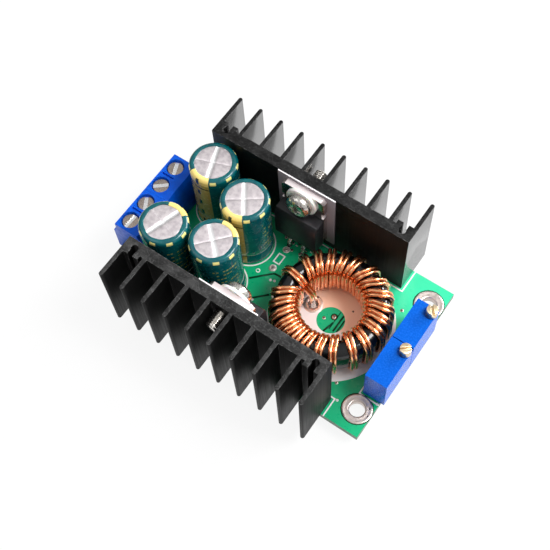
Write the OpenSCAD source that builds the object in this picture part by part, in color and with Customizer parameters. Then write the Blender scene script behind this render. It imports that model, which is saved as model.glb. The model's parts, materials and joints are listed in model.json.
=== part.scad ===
// Step-down converter module: a circuit board with two finned heatsinks,
// four electrolytic capacitors, a toroidal inductor, two screw trimmers
// and two screw terminal blocks. Millimetres, +Z up.
// The layout frame has x = 0 at the terminal end of the board, y = 0 at its
// near long edge and z = 0 on its top face. placed() moves it so that the
// origin is the middle of the whole module's underside.

/* [Circuit board] */
// Width of the board
board_w = 36.8; // [36.4:0.2:44]
// Thickness of the board
board_t = 1.6; // [1:0.2:2.4]
// Shift of the row of parts from the board's middle line
row_shift = -0.6; // [-0.8:0.1:0]
// Diameter of the mounting holes
hole_d = 3.2; // [2.4:0.1:3.6]
// Distance between the two mounting holes
hole_pitch = 27; // [26.6:0.1:28.4]
// Distance of the mounting holes from the trimmer end of the board
hole_inset = 3.1; // [2.8:0.1:3.6]
// Diameter of the tinned ring round a mounting hole
ring_d = 6.2; // [4.6:0.2:6.4]
// Thickness of the copper and tin on the board
copper_t = 0.05; // [0.03:0.01:0.1]
// Thickness of the printed ink
ink_t = 0.06; // [0.04:0.01:0.12]
// Width of a printed line
ink_w = 0.28; // [0.2:0.02:0.4]
// Length of lead left below the board
tail_len = 2; // [1.8:0.1:3]
// Height of the solder round a lead
solder_h = 1; // [0.6:0.1:1.4]
// Clearance round a lead in its hole
lead_clear = 0.1; // [0.05:0.05:0.2]

/* [Heatsinks] */
// Length of a heatsink
sink_l = 46.56; // [44:0.5:50]
// Height of a heatsink
sink_h = 20; // [19:0.5:26]
// Thickness of the wall that carries the fins
sink_wall = 2.4; // [2:0.1:3]
// Number of fins
fin_count = 10; // [6:2:12]
// Thickness of a fin
fin_t = 0.9; // [0.7:0.1:1.1]
// Length of a fin beyond the wall
fin_l = 7.4; // [5:0.2:10]
// Clearance between the wound inductor and a heatsink
sink_coil_gap = 1.53; // [0.6:0.1:2.4]
// Step of the near heatsink towards the trimmers
sink_stagger = 1.36; // [0:0.1:2]
// Diameter of the pins that hold a heatsink to the board
sink_pin_d = 1.5; // [1.2:0.1:1.7]
// Distance of a pin from the end of its heatsink
sink_pin_inset = 2.5; // [2.4:0.05:2.7]
// Distance of a pin's centre from the heatsink's inner face
sink_pin_depth = 1.7; // [1.5:0.1:1.9]
// Length of pin pressed into the heatsink
sink_pin_grip = 6; // [4:0.5:10]
// Height of the cheeks beside the pin slot
cheek_h = 0.9; // [0.5:0.1:1.2]

/* [Terminal blocks] */
// Distance from pole to pole
pole_pitch = 5.08; // [5:0.04:5.2]
// Depth of a block from its wire side to its back
block_d = 7.6; // [7.4:0.1:8.4]
// Height of a block
block_h = 10; // [9.8:0.1:11]
// Overhang of the blocks past the end of the board
block_overhang = 0.5; // [0:0.1:0.8]
// Sideways shift of the blocks from the row of parts
block_shift = -0.28; // [-0.6:0.02:0.4]
// Height of the step in the wire side
block_step_h = 6.8; // [6:0.1:7.4]
// Depth of the step in the wire side
block_step = 0.9; // [0.4:0.1:1]
// Distance of the screws from the wire side
pole_inset = 3; // [2.8:0.1:3.2]
// Diameter of the screw head
pole_head_d = 3.3; // [2.8:0.1:3.4]
// Clearance round a screw head
pole_head_clear = 0.25; // [0.1:0.05:0.3]
// Diameter of the screw thread
pole_thread_d = 2.6; // [2.4:0.1:2.7]
// Running clearance of the thread
thread_clear = 0.06; // [0.03:0.01:0.09]
// Width of the cage that clamps the wire
cage_w = 4.1; // [3.8:0.1:4.2]
// Thickness of the cage
cage_t = 0.7; // [0.6:0.05:0.75]
// Opening of the cage for the wire
cage_gap = 2.1; // [2.1:0.05:2.3]
// Travel of the cage
cage_travel = 2; // [1.5:0.1:2]
// Thickness of the contact strip
contact_t = 0.7; // [0.5:0.05:0.75]

/* [Capacitors] */
// Diameter over the sleeve
cap_d = 10.1; // [9:0.1:10.5]
// Height over the sleeve
cap_h = 18.6; // [14:0.2:24]
// Distance between the two leads
cap_lead_pitch = 5; // [4:0.5:5]
// Diameter of a lead
cap_lead_d = 0.7; // [0.5:0.1:0.8]
// Thickness of the sleeve
sleeve_t = 0.14; // [0.1:0.02:0.2]
// Width of the sleeve's lip over the top of the can
sleeve_lip = 1.2; // [0.8:0.1:1.6]
// Gap from the first capacitors to the blocks and the far heatsink
cap_gap = 0.25; // [0.2:0.05:0.8]
// Gap from the third capacitor to the near heatsink
cap_near_gap = 1.4; // [0.5:0.1:1.8]
// Gap between neighbouring capacitors
cap_space = 0.7; // [0.6:0.1:1.2]

/* [Inductor] */
// Outer diameter of the core
core_od = 23.4; // [23:0.2:26]
// Inner diameter of the core
core_id = 15.4; // [13.6:0.2:15.6]
// Height of the core
core_h = 8; // [7:0.2:11]
// Rounding of the core's edges
core_round = 1.9; // [0.6:0.1:1.9]
// Diameter of a strand
wire_d = 0.88; // [0.7:0.02:0.9]
// Inward step of every second strand inside the core
wire_step = 0.46; // [0.4:0.02:0.8]
// Gap between the inductor and the near package
coil_tab_gap = 0.3; // [0.2:0.1:1]

/* [Power packages] */
// Width of a package
tab_w = 10.1; // [9.8:0.1:10.6]
// Thickness of the metal tab
tab_t = 1.3; // [1:0.1:1.5]
// Thickness of a package over its body
package_t = 4.4; // [4.2:0.1:4.7]
// Height of the moulded body
package_h = 9.2; // [8.6:0.1:9.6]
// Height of the whole package
tab_h = 15.6; // [15:0.1:16]
// Distance of the hole from the top of the tab
tab_hole_inset = 2.75; // [2.6:0.05:3]
// Height of the hole above the board
tab_hole_z = 16.3; // [15.6:0.1:16.6]
// Distance of the leads from the back of the tab
lead_back = 2.5; // [2.3:0.1:2.7]
// Width of a lead
lead_w = 0.8; // [0.7:0.05:0.9]
// Thickness of a lead
lead_t = 0.5; // [0.4:0.05:0.6]
// Distance between the leads of the diode
diode_lead_pitch = 2.54; // [2.5:0.02:2.6]
// Distance between the leads of the regulator
regulator_lead_pitch = 1.7; // [1.65:0.05:1.8]
// Forward step of the regulator's second and fourth lead
lead_step = 1.7; // [1.6:0.1:1.9]
// Regulator's middle line past the edge of the capacitor beside it
regulator_gap = 3.85; // [3.8:0.05:6]
// Width of the insulating pad
pad_w = 13.6; // [12:0.2:15]
// Thickness of the insulating pad
pad_t = 0.3; // [0.2:0.05:0.5]
// Height of the top of the pad above the board
pad_top = 19.9; // [19.4:0.1:19.9]
// Height of the insulating pad
pad_h = 17.5; // [16.8:0.1:18.5]
// Diameter of the screw
tab_screw_d = 3; // [2.6:0.1:3]
// Length of the screw under its head
tab_screw_l = 8; // [6:1:10]
// Diameter of the screw's head
tab_head_d = 5.6; // [5:0.1:6]
// Height of the screw's head
tab_head_h = 2; // [1.6:0.1:2.4]
// Diameter of the insulating bush's flange
bush_d = 7; // [6.4:0.1:7.4]
// Thickness of the insulating bush's flange
bush_flange = 0.7; // [0.5:0.1:1]
// Thickness of the insulating bush's wall
bush_wall = 0.3; // [0.2:0.05:0.35]

/* [Trimmers] */
// Length of a trimmer
trimmer_l = 9.53; // [9.2:0.1:9.6]
// Depth of a trimmer
trimmer_d = 4.83; // [4.6:0.1:5.2]
// Height of a trimmer
trimmer_h = 10.03; // [9.5:0.1:11]
// Height of the small feet under a trimmer
trimmer_foot = 0.3; // [0.2:0.05:0.5]
// Gap between the two trimmers
trimmer_seam = 0.15; // [0.1:0.05:0.3]
// Gap between the inductor and the trimmers
trimmer_gap = 1.25; // [0.8:0.05:2]
// Overhang of the trimmers past the end of the board
trimmer_overhang = 0.85; // [0:0.1:1]
// Sideways shift of the trimmers from the row of parts
trimmer_shift = 0.15; // [-0.1:0.05:0.3]
// Diameter of the adjusting screw
adjuster_d = 2.3; // [2:0.1:2.4]
// Height of the adjusting screw above the trimmer
adjuster_rise = 1.6; // [1:0.1:2]
// Distance of the adjusting screw from the trimmer's far end
adjuster_end = 1.25; // [1.25:0.05:2]
// Distance of the adjusting screw from the trimmer's outer face
adjuster_side = 1.05; // [1.05:0.05:2]
// Diameter of a trimmer pin
trimmer_pin_d = 0.6; // [0.5:0.05:0.7]
// Distance between the trimmer pins
trimmer_pin_pitch = 2.54; // [2.5:0.02:2.6]

/* [Hidden] */
$fn = 48;
cut = 0.5;            // how far a cutter runs past the face it cuts
lap = 0.2;            // how far shapes that form one piece run into each other
touch_clear = 0.05;   // gap between faces that slide on each other

// Places along the board, from the terminal end to the trimmer end
row_y = board_w / 2 + row_shift;
cap_r = cap_d / 2;
wire_r = wire_d / 2;
wire_clear = 0.02;
coil_r = core_od / 2 + wire_clear + wire_d;
sink_half_gap = coil_r + sink_coil_gap;
near_face = row_y - sink_half_gap;
far_face = row_y + sink_half_gap;
block_back = block_d - block_overhang;
cap_col = block_back + cap_gap + cap_r;
cap_far_y = far_face - cap_gap - cap_r;
cap_near_y = near_face + cap_near_gap + cap_r;
cap_pair_y = (cap_d + cap_space) / 2;
function cap_step(dy) = sqrt(pow(cap_d + cap_space, 2) - dy * dy);
cap_at = [
    [cap_col, cap_far_y],
    [cap_col + cap_step(cap_far_y - row_y - cap_pair_y), row_y + cap_pair_y],
    [cap_col, cap_near_y],
    [cap_col + cap_step(row_y - cap_pair_y - cap_near_y), row_y - cap_pair_y]
];
regulator_x = cap_at[1][0] + cap_r + regulator_gap;
diode_x = regulator_x + sink_stagger;
package_front = pad_t + package_t;
corner_y = sink_half_gap - package_front;
corner_x = sqrt(pow(coil_r + coil_tab_gap, 2) - corner_y * corner_y);
coil_x = diode_x + tab_w / 2 + corner_x;
trimmer_x = coil_x + coil_r + trimmer_gap;
board_l = trimmer_x + trimmer_d - trimmer_overhang;

// The whole module's box, which sets the origin
module_x = [-block_overhang, board_l + trimmer_overhang];
module_y = [near_face - sink_wall - fin_l, far_face + sink_wall + fin_l];
under_z = -board_t;
floor_z = under_z - tail_len;
origin = [(module_x[0] + module_x[1]) / 2, (module_y[0] + module_y[1]) / 2, floor_z];

module placed() { translate(-origin) children(); }
module at(p) { translate([p[0], p[1], 0]) children(); }
module at_near() { translate([diode_x, near_face, 0]) children(); }
module at_far() { translate([regulator_x, far_face, 0]) rotate([0, 0, 180]) children(); }
module both_sides() { at_near() children(); at_far() children(); }
module centred_box(size, z = 0) {
    translate([-size[0] / 2, -size[1] / 2, z]) cube(size);
}
module drill(r, z0, z1) { translate([0, 0, z0]) cylinder(h = z1 - z0, r = r); }

// ---------------------------------------------------------------- leads
// Every lead that passes through the board, so that the holes, the solder
// and the leads themselves all follow the same places.
hole_at = [for (s = [-1, 1]) [board_l - hole_inset, board_w / 2 + s * hole_pitch / 2]];
block_y = row_y + block_shift;
pole_x = pole_inset - block_overhang;
function pole_y(i) = block_y + (i - 1.5) * pole_pitch;
contact_tail_d = 1;
block_wall = 1.1;     // back wall of a terminal block
contact_tail_x = block_back - block_wall - touch_clear - contact_tail_d / 2;
contact_tails = [for (i = [0:3]) [contact_tail_x, pole_y(i)]];
cap_tails = [for (i = [0:3], s = [-1, 1]) cap_at[i] + [s * cap_lead_pitch / 2, 0]];
sink_pin_x = sink_l / 2 - sink_pin_inset;
sink_tails = [
    for (s = [-1, 1]) [diode_x + s * sink_pin_x, near_face - sink_pin_depth],
    for (s = [-1, 1]) [regulator_x + s * sink_pin_x, far_face + sink_pin_depth]
];
lead_y = pad_t + lead_back;
diode_tails = [for (i = [-1:1]) [diode_x + i * diode_lead_pitch, near_face + lead_y]];
function stepped(i) = i % 2 == 0 ? 0 : lead_step;
regulator_tails = [
    for (i = [-2:2]) [regulator_x + i * regulator_lead_pitch, far_face - lead_y - stepped(i)]
];
trimmer_y = [for (s = [-1, 1]) row_y + trimmer_shift + s * (trimmer_l + trimmer_seam) / 2];
trimmer_tails = [
    for (y = trimmer_y, i = [-1:1]) [trimmer_x + trimmer_d / 2, y + i * trimmer_pin_pitch]
];

// ---------------------------------------------------------------- winding
// Two strands wound side by side in one hand-laid layer. Each run of turns
// has its own first angle, pitch and number of turns. A turn leans over the
// top, from its angle inside the core to its angle outside.
wire_runs = [
    [174, 0, 1], [153.4, 15.3, 6], [59.7, 14.8, 5], [342.3, 15.3, 2],
    [306.5, 14.2, 3], [262.2, 11.3, 3], [225.6, 13.9, 3]
];
wire_lean = 3;
turn_in = [for (run = wire_runs, i = [0:run[2] - 1]) run[0] - i * run[1] + wire_lean / 2];
turn_out = [for (a = turn_in) a - wire_lean];
last_turn = len(turn_in) - 1;
wire_sides = 8;
coil_z = ink_t + wire_d + wire_clear;               // underside of the core
wire_low = coil_z - wire_clear - wire_r;
wire_high = coil_z + core_h + wire_clear + wire_r;
wire_out = core_od / 2 + wire_clear + wire_r;
wire_in = core_id / 2 - wire_clear - wire_r;
wire_bend = (2 - sqrt(2)) * (core_round + wire_clear + wire_r);  // cut corner over the round edge
pair_half = wire_r + wire_clear;                    // half the pitch of the two strands
pair_half_in = 0.82 * wire_r;                       // the same, where they crowd inside the core
lead_inset = 1.65;                                  // the first lead stands inside the turns
lead_twist = 7;
inner_lead_r = wire_in - wire_step - lead_inset;
inner_lead_angle = turn_in[0] - lead_twist;
wire_tail = solder_h + 0.3;
coil_tails = [
    [coil_x, row_y] + inner_lead_r * [cos(inner_lead_angle), sin(inner_lead_angle)],
    [coil_x, row_y] + wire_out * [cos(turn_out[last_turn]), sin(turn_out[last_turn])]
];
coil_hole_r = wire_d + lead_clear;
coil_pad_r = coil_hole_r + 0.72;

function turned(a, r, t, z) = [r * cos(a) - t * sin(a), r * sin(a) + t * cos(a), z];
function in_r(s) = wire_in - (s < 0 ? wire_step : 0);
function rise_inside(a, s) = [
    turned(a, in_r(s), s * pair_half_in, wire_low + wire_bend),
    turned(a, in_r(s), s * pair_half_in, wire_high - wire_bend)
];
function cross_top(a, b, s) = [
    turned(a, in_r(s) + wire_bend, s * pair_half_in, wire_high),
    turned(b, wire_out - wire_bend, s * pair_half, wire_high)
];
function fall_outside(a, s) = [
    turned(a, wire_out, s * pair_half, wire_high - wire_bend),
    turned(a, wire_out, s * pair_half, wire_low + wire_bend)
];
function cross_under(a, b, s) = [
    turned(a, wire_out - wire_bend, s * pair_half, wire_low),
    turned(b, in_r(s) + wire_bend, s * pair_half_in, wire_low)
];
function first_lead(s) = [
    turned(inner_lead_angle, inner_lead_r, s * pair_half, under_z - wire_tail),
    turned(inner_lead_angle, inner_lead_r, s * pair_half, wire_high / 2),
    turned(turn_in[0], in_r(s), s * pair_half_in, wire_high - wire_bend)
];
function last_lead(a, s) = [
    turned(a, wire_out, s * pair_half, wire_high - wire_bend),
    turned(a, wire_out, s * pair_half, under_z - wire_tail)
];
function strand(s) = [
    each first_lead(s),
    for (i = [0:last_turn]) each [
        each (i == 0 ? [] : rise_inside(turn_in[i], s)),
        each cross_top(turn_in[i], turn_out[i], s),
        each (i == last_turn ? last_lead(turn_out[i], s) : fall_outside(turn_out[i], s)),
        each (i == last_turn ? [] : cross_under(turn_out[i], turn_in[i + 1], s))
    ]
];

function unit(v) = v / norm(v);
// Direction of the path at point i, and a sideways vector square to it
function along(p, i) = unit(p[min(i + 1, len(p) - 1)] - p[max(i - 1, 0)]);
function beside(p, i) =
    let (d = along(p, i), out = [p[i][1], -p[i][0], 0])
    unit(out - (out * d) * d);
function wire_ring(p, i, r) =
    let (d = along(p, i), u = beside(p, i), v = cross(d, u))
    [for (k = [0:wire_sides - 1]) let (a = 360 * (k + 0.5) / wire_sides)
        p[i] + r * (cos(a) * u + sin(a) * v)];
module sweep(p, r) {
    n = wire_sides;
    last = (len(p) - 1) * n;
    polyhedron(
        points = [for (i = [0:len(p) - 1]) each wire_ring(p, i, r)],
        faces = [
            [for (k = [0:n - 1]) k],
            [for (k = [n - 1:-1:0]) last + k],
            for (i = [0:len(p) - 2], k = [0:n - 1]) let (a = i * n, b = (k + 1) % n)
                [a + k, a + n + k, a + n + b, a + b]
        ]
    );
}

// ---------------------------------------------------------------- board
module lead_holes() {
    for (p = contact_tails) at(p) drill(contact_tail_d / 2 + lead_clear, under_z - cut, cut);
    for (p = cap_tails) at(p) drill(cap_lead_d / 2 + lead_clear, under_z - cut, cut);
    for (p = sink_tails) at(p) drill(sink_pin_d / 2 + lead_clear, under_z - cut, cut);
    for (p = concat(diode_tails, regulator_tails)) at(p) drill(flat_hole_r, under_z - cut, cut);
    for (p = trimmer_tails) at(p) drill(trimmer_pin_d / 2 + lead_clear, under_z - cut, cut);
    for (p = coil_tails) at(p) drill(coil_hole_r, under_z - cut, cut);
    for (p = spare_pad_at) at(p) drill(spare_hole_r, under_z - cut, cut);
}
flat_lead_r = norm([lead_w, lead_t]) / 2;
flat_hole_r = flat_lead_r + lead_clear;
// Two empty pads beside the regulator, with a printed frame between them
spare_hole_r = 0.35;
spare_pad_r = 0.75;
spare_pitch = 5.2;
spare_frame = [1.7, 2.5];
spare_shift = [-1.6, 5.7];
spare_at = [regulator_x, row_y] + spare_shift;
spare_pad_at = [for (s = [-1, 1]) spare_at + [0, s * spare_pitch / 2]];

module circuit_board() {
    color("seagreen") difference() {
        translate([0, 0, under_z]) cube([board_l, board_w, board_t]);
        for (p = hole_at) at(p) drill(hole_d / 2 + copper_t, under_z - cut, cut);
        lead_holes();
    }
}

module mount_hole_ring() {
    difference() {
        union() {
            drill(ring_d / 2, 0, copper_t);
            drill(ring_d / 2, under_z - copper_t, under_z);
            drill(hole_d / 2 + copper_t, under_z - copper_t, copper_t);
        }
        drill(hole_d / 2, under_z - cut, cut);
    }
}
module mount_hole_rings() {
    color("lightgray") for (p = hole_at) at(p) mount_hole_ring();
}

module flat_ring(r_out, r_in, t) {
    difference() {
        cylinder(h = t, r = r_out);
        translate([0, 0, -cut]) cylinder(h = t + 2 * cut, r = r_in);
    }
}
module solder_pads() {
    color("silver") {
        at(coil_tails[0]) flat_ring(coil_pad_r, coil_hole_r, copper_t);
        for (p = spare_pad_at) at(p) flat_ring(spare_pad_r, spare_hole_r, copper_t);
    }
}

// A printed frame of lines, by its outer corners
module ink_frame(low, high) {
    difference() {
        translate([low[0], low[1], 0]) cube([high[0] - low[0], high[1] - low[1], ink_t]);
        translate([low[0] + ink_w, low[1] + ink_w, -cut])
            cube([high[0] - low[0] - 2 * ink_w, high[1] - low[1] - 2 * ink_w, ink_t + 2 * cut]);
    }
}
print_gap = 0.35;              // from a part's edge to its printed line
coil_print_r = coil_r + 0.7;
coil_print_hole_r = 2.95;
cap_print_r = cap_r + 0.2;
module prints() {
    translate([coil_x, row_y, 0]) flat_ring(coil_print_r, coil_print_hole_r, ink_t);
    for (p = cap_at) at(p) flat_ring(cap_print_r + ink_w, cap_print_r, ink_t);
    sink_edge = sink_l / 2 + 2 * print_gap;
    both_sides() ink_frame([-sink_edge, -board_w], [sink_edge, print_gap + ink_w]);
    rim = print_gap + ink_w;
    ink_frame(
        [trimmer_x - rim, trimmer_y[0] - trimmer_l / 2 - rim],
        [board_l + board_w, trimmer_y[1] + trimmer_l / 2 + rim]
    );
    ink_frame(spare_at - spare_frame / 2, spare_at + spare_frame / 2);
}
module print_keepout() {
    both_sides() translate([-sink_l / 2, -sink_wall - fin_l - cut, -cut])
        cube([sink_l, sink_wall + fin_l + cut, 2 * cut]);
    translate([-cut, block_y - 2 * pole_pitch, -cut])
        cube([block_back + cut, 4 * pole_pitch, 2 * cut]);
    for (p = coil_tails) at(p) drill(coil_pad_r, -cut, cut);
    for (p = hole_at) at(p) drill(ring_d / 2, -cut, cut);
    for (p = spare_pad_at) at(p) drill(spare_pad_r, -cut, cut);
}
module silkscreen() {
    color("white") difference() {
        intersection() {
            prints();
            translate([0, 0, -cut]) cube([board_l, board_w, 2 * cut]);
        }
        print_keepout();
    }
}

// A cone of solder under the board, wide at the board and narrow at the tip
solder_wall = 0.22;
module solder(wide_r, tip_r) {
    translate([0, 0, under_z - solder_h]) cylinder(h = solder_h, r1 = tip_r, r2 = wide_r);
}
module round_joints(places, lead_d) {
    for (p = places) at(p) difference() {
        solder(lead_d / 2 + 2 * solder_wall, lead_d / 2 + solder_wall);
        drill(lead_d / 2, floor_z - cut, cut);
    }
}
module flat_joints(places) {
    for (p = places) at(p) difference() {
        solder(flat_lead_r + 2 * solder_wall, flat_lead_r + solder_wall);
        centred_box([lead_w, lead_t, 2 * solder_h + cut], under_z - solder_h - cut);
    }
}
module solder_joints() {
    color("silver") {
        round_joints(contact_tails, contact_tail_d);
        round_joints(cap_tails, cap_lead_d);
        round_joints(sink_tails, sink_pin_d);
        round_joints(trimmer_tails, trimmer_pin_d);
        flat_joints(concat(diode_tails, regulator_tails));
        for (p = coil_tails) at(p) difference() {
            solder(coil_pad_r, coil_hole_r + solder_wall);
            drill(coil_hole_r, floor_z - cut, cut);
        }
    }
}

// ---------------------------------------------------------------- terminal blocks
block_floor = 0.8;
block_front = -block_overhang;
block_front_wall = 0.7;
block_chamfer = [1, 1.6];
web_t = 0.7;                                         // ledge under the screw head
cage_l = 4;
cage_in_w = cage_w - 2 * cage_t;
pole_cavity_w = cage_w + 2 * touch_clear;
cage_low = block_floor + touch_clear;
contact_low = cage_low + cage_t + cage_gap;
cage_roof = contact_low + contact_t + touch_clear;   // underside of the cage's threaded top
cage_top = cage_roof + cage_t + lap;
web_low = cage_top + cage_travel + 2 * touch_clear;
web_top = web_low + web_t;
entry_w = cage_in_w + 0.5;
entry_h = contact_low - block_floor + 0.55;

module block_side() {
    polygon([
        [block_front, 0], [block_front, block_step_h],
        [block_front + block_step, block_step_h + block_step], [block_front + block_step, block_h],
        [block_back - block_chamfer[0], block_h], [block_back, block_h - block_chamfer[1]],
        [block_back, 0]
    ]);
}
module pole_cuts() {
    // hole for the screw head, ledge and shank
    translate([pole_x, 0, 0]) {
        drill(pole_head_d / 2 + pole_head_clear, web_top, block_h + cut);
        drill(pole_thread_d / 2 + thread_clear, web_low - cut, web_top + cut);
    }
    // room for the cage and the contact strip
    translate([block_front + block_front_wall, -pole_cavity_w / 2, block_floor])
        cube([block_d - block_front_wall - block_wall, pole_cavity_w, web_low - block_floor]);
    // wire entry
    translate([block_front - cut, -entry_w / 2, block_floor])
        cube([block_front_wall + 2 * cut, entry_w, entry_h]);
    // solder tail
    translate([contact_tail_x, 0, 0])
        drill(contact_tail_d / 2 + lead_clear, -cut, block_floor + cut);
}
// Groove between the two poles of a block
groove_l = 3;
groove_w = 0.35;
groove_h = 0.6;
module terminal_housing(first) {
    y0 = pole_y(first) - pole_pitch / 2;
    color("royalblue") difference() {
        translate([0, y0 + 2 * pole_pitch, 0]) rotate([90, 0, 0])
            linear_extrude(2 * pole_pitch) block_side();
        for (i = [first, first + 1]) translate([0, pole_y(i), 0]) pole_cuts();
        translate([pole_x - groove_l / 2, y0 + pole_pitch - groove_w / 2, block_h - groove_h])
            cube([groove_l, groove_w, groove_h + cut]);
    }
}
module terminal_housing_input() { terminal_housing(2); }
module terminal_housing_output() { terminal_housing(0); }

module terminal_cage(i) {
    color("gainsboro") translate([pole_x, pole_y(i), 0]) difference() {
        centred_box([cage_l, cage_w, cage_top - cage_low], cage_low);
        centred_box([cage_l + 2 * cut, cage_in_w, cage_roof - cage_low - cage_t], cage_low + cage_t);
        drill(pole_thread_d / 2 + thread_clear, cage_roof - cut, cage_top + cut);
    }
}
slot_w = 0.65;
slot_h = 0.8;
slot_turn = [87, 120, 40, 111];  // how far each screw's slot is turned
pole_head_top = block_h - 0.5;
module terminal_screw(i) {
    head_low = web_top + touch_clear;
    color("lightgray") translate([pole_x, pole_y(i), 0]) difference() {
        union() {
            drill(pole_head_d / 2, head_low, pole_head_top);
            drill(pole_thread_d / 2, cage_roof, head_low + lap);
        }
        rotate(slot_turn[i])
            centred_box([pole_head_d + 2 * cut, slot_w, slot_h + cut], pole_head_top - slot_h);
    }
}
module terminal_contacts() {
    strip_w = cage_in_w - 2 * touch_clear;
    strip_low_x = pole_x - cage_l / 2;
    color("silver") for (i = [0:3]) translate([0, pole_y(i), 0]) union() {
        translate([strip_low_x, -strip_w / 2, contact_low])
            cube([contact_tail_x + contact_tail_d / 2 - strip_low_x, strip_w, contact_t]);
        translate([contact_tail_x, 0, 0]) drill(contact_tail_d / 2, floor_z, contact_low + contact_t / 2);
    }
}

// ---------------------------------------------------------------- capacitors
cap_foot = 0.3;
can_r = cap_r - sleeve_t;
can_top = cap_h - sleeve_t;
rim_round = 0.7;
can_wall = 0.5;
seal_r = can_r - can_wall;
seal_h = 2;
score_w = 0.22;
score_h = 0.12;
score_l = 2 * (can_r - sleeve_lip);
bead_z = cap_foot + 2.8;      // rolled bead above the seal
bead_r = 0.45;
cap_turn = [20, 35, 60, 40];  // how far each can is turned
cap_tail_end = floor_z + 0.4;
module rounded_column(r, low, high, rounding) {
    rotate_extrude() difference() {
        translate([0, low]) square([r, high - low]);
        translate([r - rounding, high - rounding]) difference() {
            square(2 * rounding);
            circle(rounding);
        }
    }
}
module capacitor_can(i) {
    color("gainsboro") at(cap_at[i]) difference() {
        rounded_column(can_r, cap_foot, can_top, rim_round);
        drill(seal_r, cap_foot - cut, cap_foot + seal_h);
        translate([0, 0, bead_z]) rotate_extrude() translate([can_r, 0]) circle(bead_r);
        for (a = [0, 90]) rotate([0, 0, cap_turn[i] + a])
            centred_box([score_l, score_w, score_h + cut], can_top - score_h);
    }
}
module capacitor_sleeve(i) {
    color("teal") at(cap_at[i]) difference() {
        rounded_column(cap_r, cap_foot, cap_h, rim_round + sleeve_t);
        rounded_column(can_r, cap_foot - cut, can_top, rim_round);
        drill(can_r - sleeve_lip, can_top - cut, cap_h + cut);
    }
}
module capacitor_seal(i) {
    color("dimgray") at(cap_at[i]) difference() {
        drill(seal_r, cap_foot, cap_foot + seal_h);
        for (s = [-1, 1]) translate([s * cap_lead_pitch / 2, 0, 0])
            drill(cap_lead_d / 2, cap_foot - cut, cap_foot + seal_h + cut);
    }
}
module capacitor_leads() {
    color("silver") for (p = cap_tails) at(p) drill(cap_lead_d / 2, cap_tail_end, cap_foot + seal_h);
}

// ---------------------------------------------------------------- inductor
module core_section() {
    w = (core_od - core_id) / 2;
    translate([core_id / 2, 0]) difference() {
        square([w, core_h]);
        for (x = [0, 1], z = [0, 1]) translate([x * w, z * core_h]) mirror([x, 0]) mirror([0, z])
            translate([core_round, core_round]) rotate(180) difference() {
                square(2 * core_round);
                circle(core_round);
            }
    }
}
module inductor_core() {
    color("#0d0d0f") translate([coil_x, row_y, coil_z]) rotate_extrude($fn = 96) core_section();
}
module inductor_winding() {
    color("peru") translate([coil_x, row_y, 0]) {
        sweep(strand(1), wire_r);
        sweep(strand(-1), wire_r);
    }
}

// ---------------------------------------------------------------- heatsinks
function fin_x(i) = -sink_l / 2 + fin_t / 2 + i * (sink_l - fin_t) / (fin_count - 1);
cheek_w = 1.1;
pin_mouth = 0.8 * sink_pin_d;  // narrow mouth that keeps the pin in its slot
module pin_slot() {
    translate([0, -sink_pin_depth]) circle(d = sink_pin_d);
    translate([-pin_mouth / 2, -sink_wall - cheek_h - cut])
        square([pin_mouth, sink_wall + cheek_h + cut - sink_pin_depth]);
}
module sink_section() {
    difference() {
        union() {
            translate([-sink_l / 2, -sink_wall]) square([sink_l, sink_wall]);
            for (i = [0:fin_count - 1]) translate([fin_x(i), -sink_wall - fin_l + fin_t / 2]) {
                translate([-fin_t / 2, 0]) square([fin_t, fin_l]);
                circle(d = fin_t);
            }
            for (s = [-1, 1]) translate([s * sink_pin_x, -sink_wall - cheek_h])
                translate([-sink_pin_d / 2 - cheek_w, 0])
                    square([sink_pin_d + 2 * cheek_w, cheek_h + sink_wall / 2]);
        }
        for (s = [-1, 1]) translate([s * sink_pin_x, 0]) pin_slot();
    }
}
tap_clear = 0.05;
module across(r, y0, y1) {
    translate([0, y1, tab_hole_z]) rotate([90, 0, 0]) cylinder(h = y1 - y0, r = r);
}
module heatsink() {
    color("#26262a") difference() {
        linear_extrude(sink_h) sink_section();
        across(tab_screw_d / 2 + tap_clear, -sink_wall - cut, cut);
    }
}
module heatsink_near() { at_near() heatsink(); }
module heatsink_far() { at_far() heatsink(); }
module heatsink_pins() {
    color("silver") for (p = sink_tails) at(p) drill(sink_pin_d / 2, floor_z, sink_pin_grip);
}

// ---------------------------------------------------------------- power packages
package_low = tab_hole_z + tab_hole_inset - tab_h;
package_high = package_low + package_h;
tab_top = package_low + tab_h;
tab_front = pad_t + tab_t;
bush_clear = 0.05;
tab_hole_r = tab_screw_d / 2 + bush_clear + bush_wall;
tab_corner = 0.8;
tab_notch = [0.5, 1.6];
tab_notch_rise = 0.6;
lead_bend_drop = 0.3;
package_tail_end = floor_z + 0.2;
module package_body() {
    slope = 0.7;
    color("#1c1c1e") rotate([90, 0, 90]) translate([0, 0, -tab_w / 2]) linear_extrude(tab_w) polygon([
        [tab_front, package_low], [package_front - slope / 2, package_low],
        [package_front, package_low + slope / 2], [package_front, package_high - 2 * slope],
        [package_front - slope, package_high], [tab_front, package_high]
    ]);
}
module package_tab() {
    notch_z = package_high + tab_notch_rise;
    color("lightgray") difference() {
        translate([0, tab_front, 0]) rotate([90, 0, 0]) linear_extrude(tab_t) difference() {
            translate([-tab_w / 2, package_low]) square([tab_w, tab_h]);
            for (s = [0, 1]) mirror([s, 0]) {
                translate([tab_w / 2 - tab_notch[0], notch_z]) square([2 * tab_notch[0], tab_notch[1]]);
                polygon([
                    [tab_w / 2 - tab_corner, tab_top + cut], [tab_w / 2 - tab_corner, tab_top],
                    [tab_w / 2, tab_top - tab_corner], [tab_w / 2 + cut, tab_top - tab_corner],
                    [tab_w / 2 + cut, tab_top + cut]
                ]);
            }
        }
        across(tab_hole_r, 0, tab_front + cut);
    }
}
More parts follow.
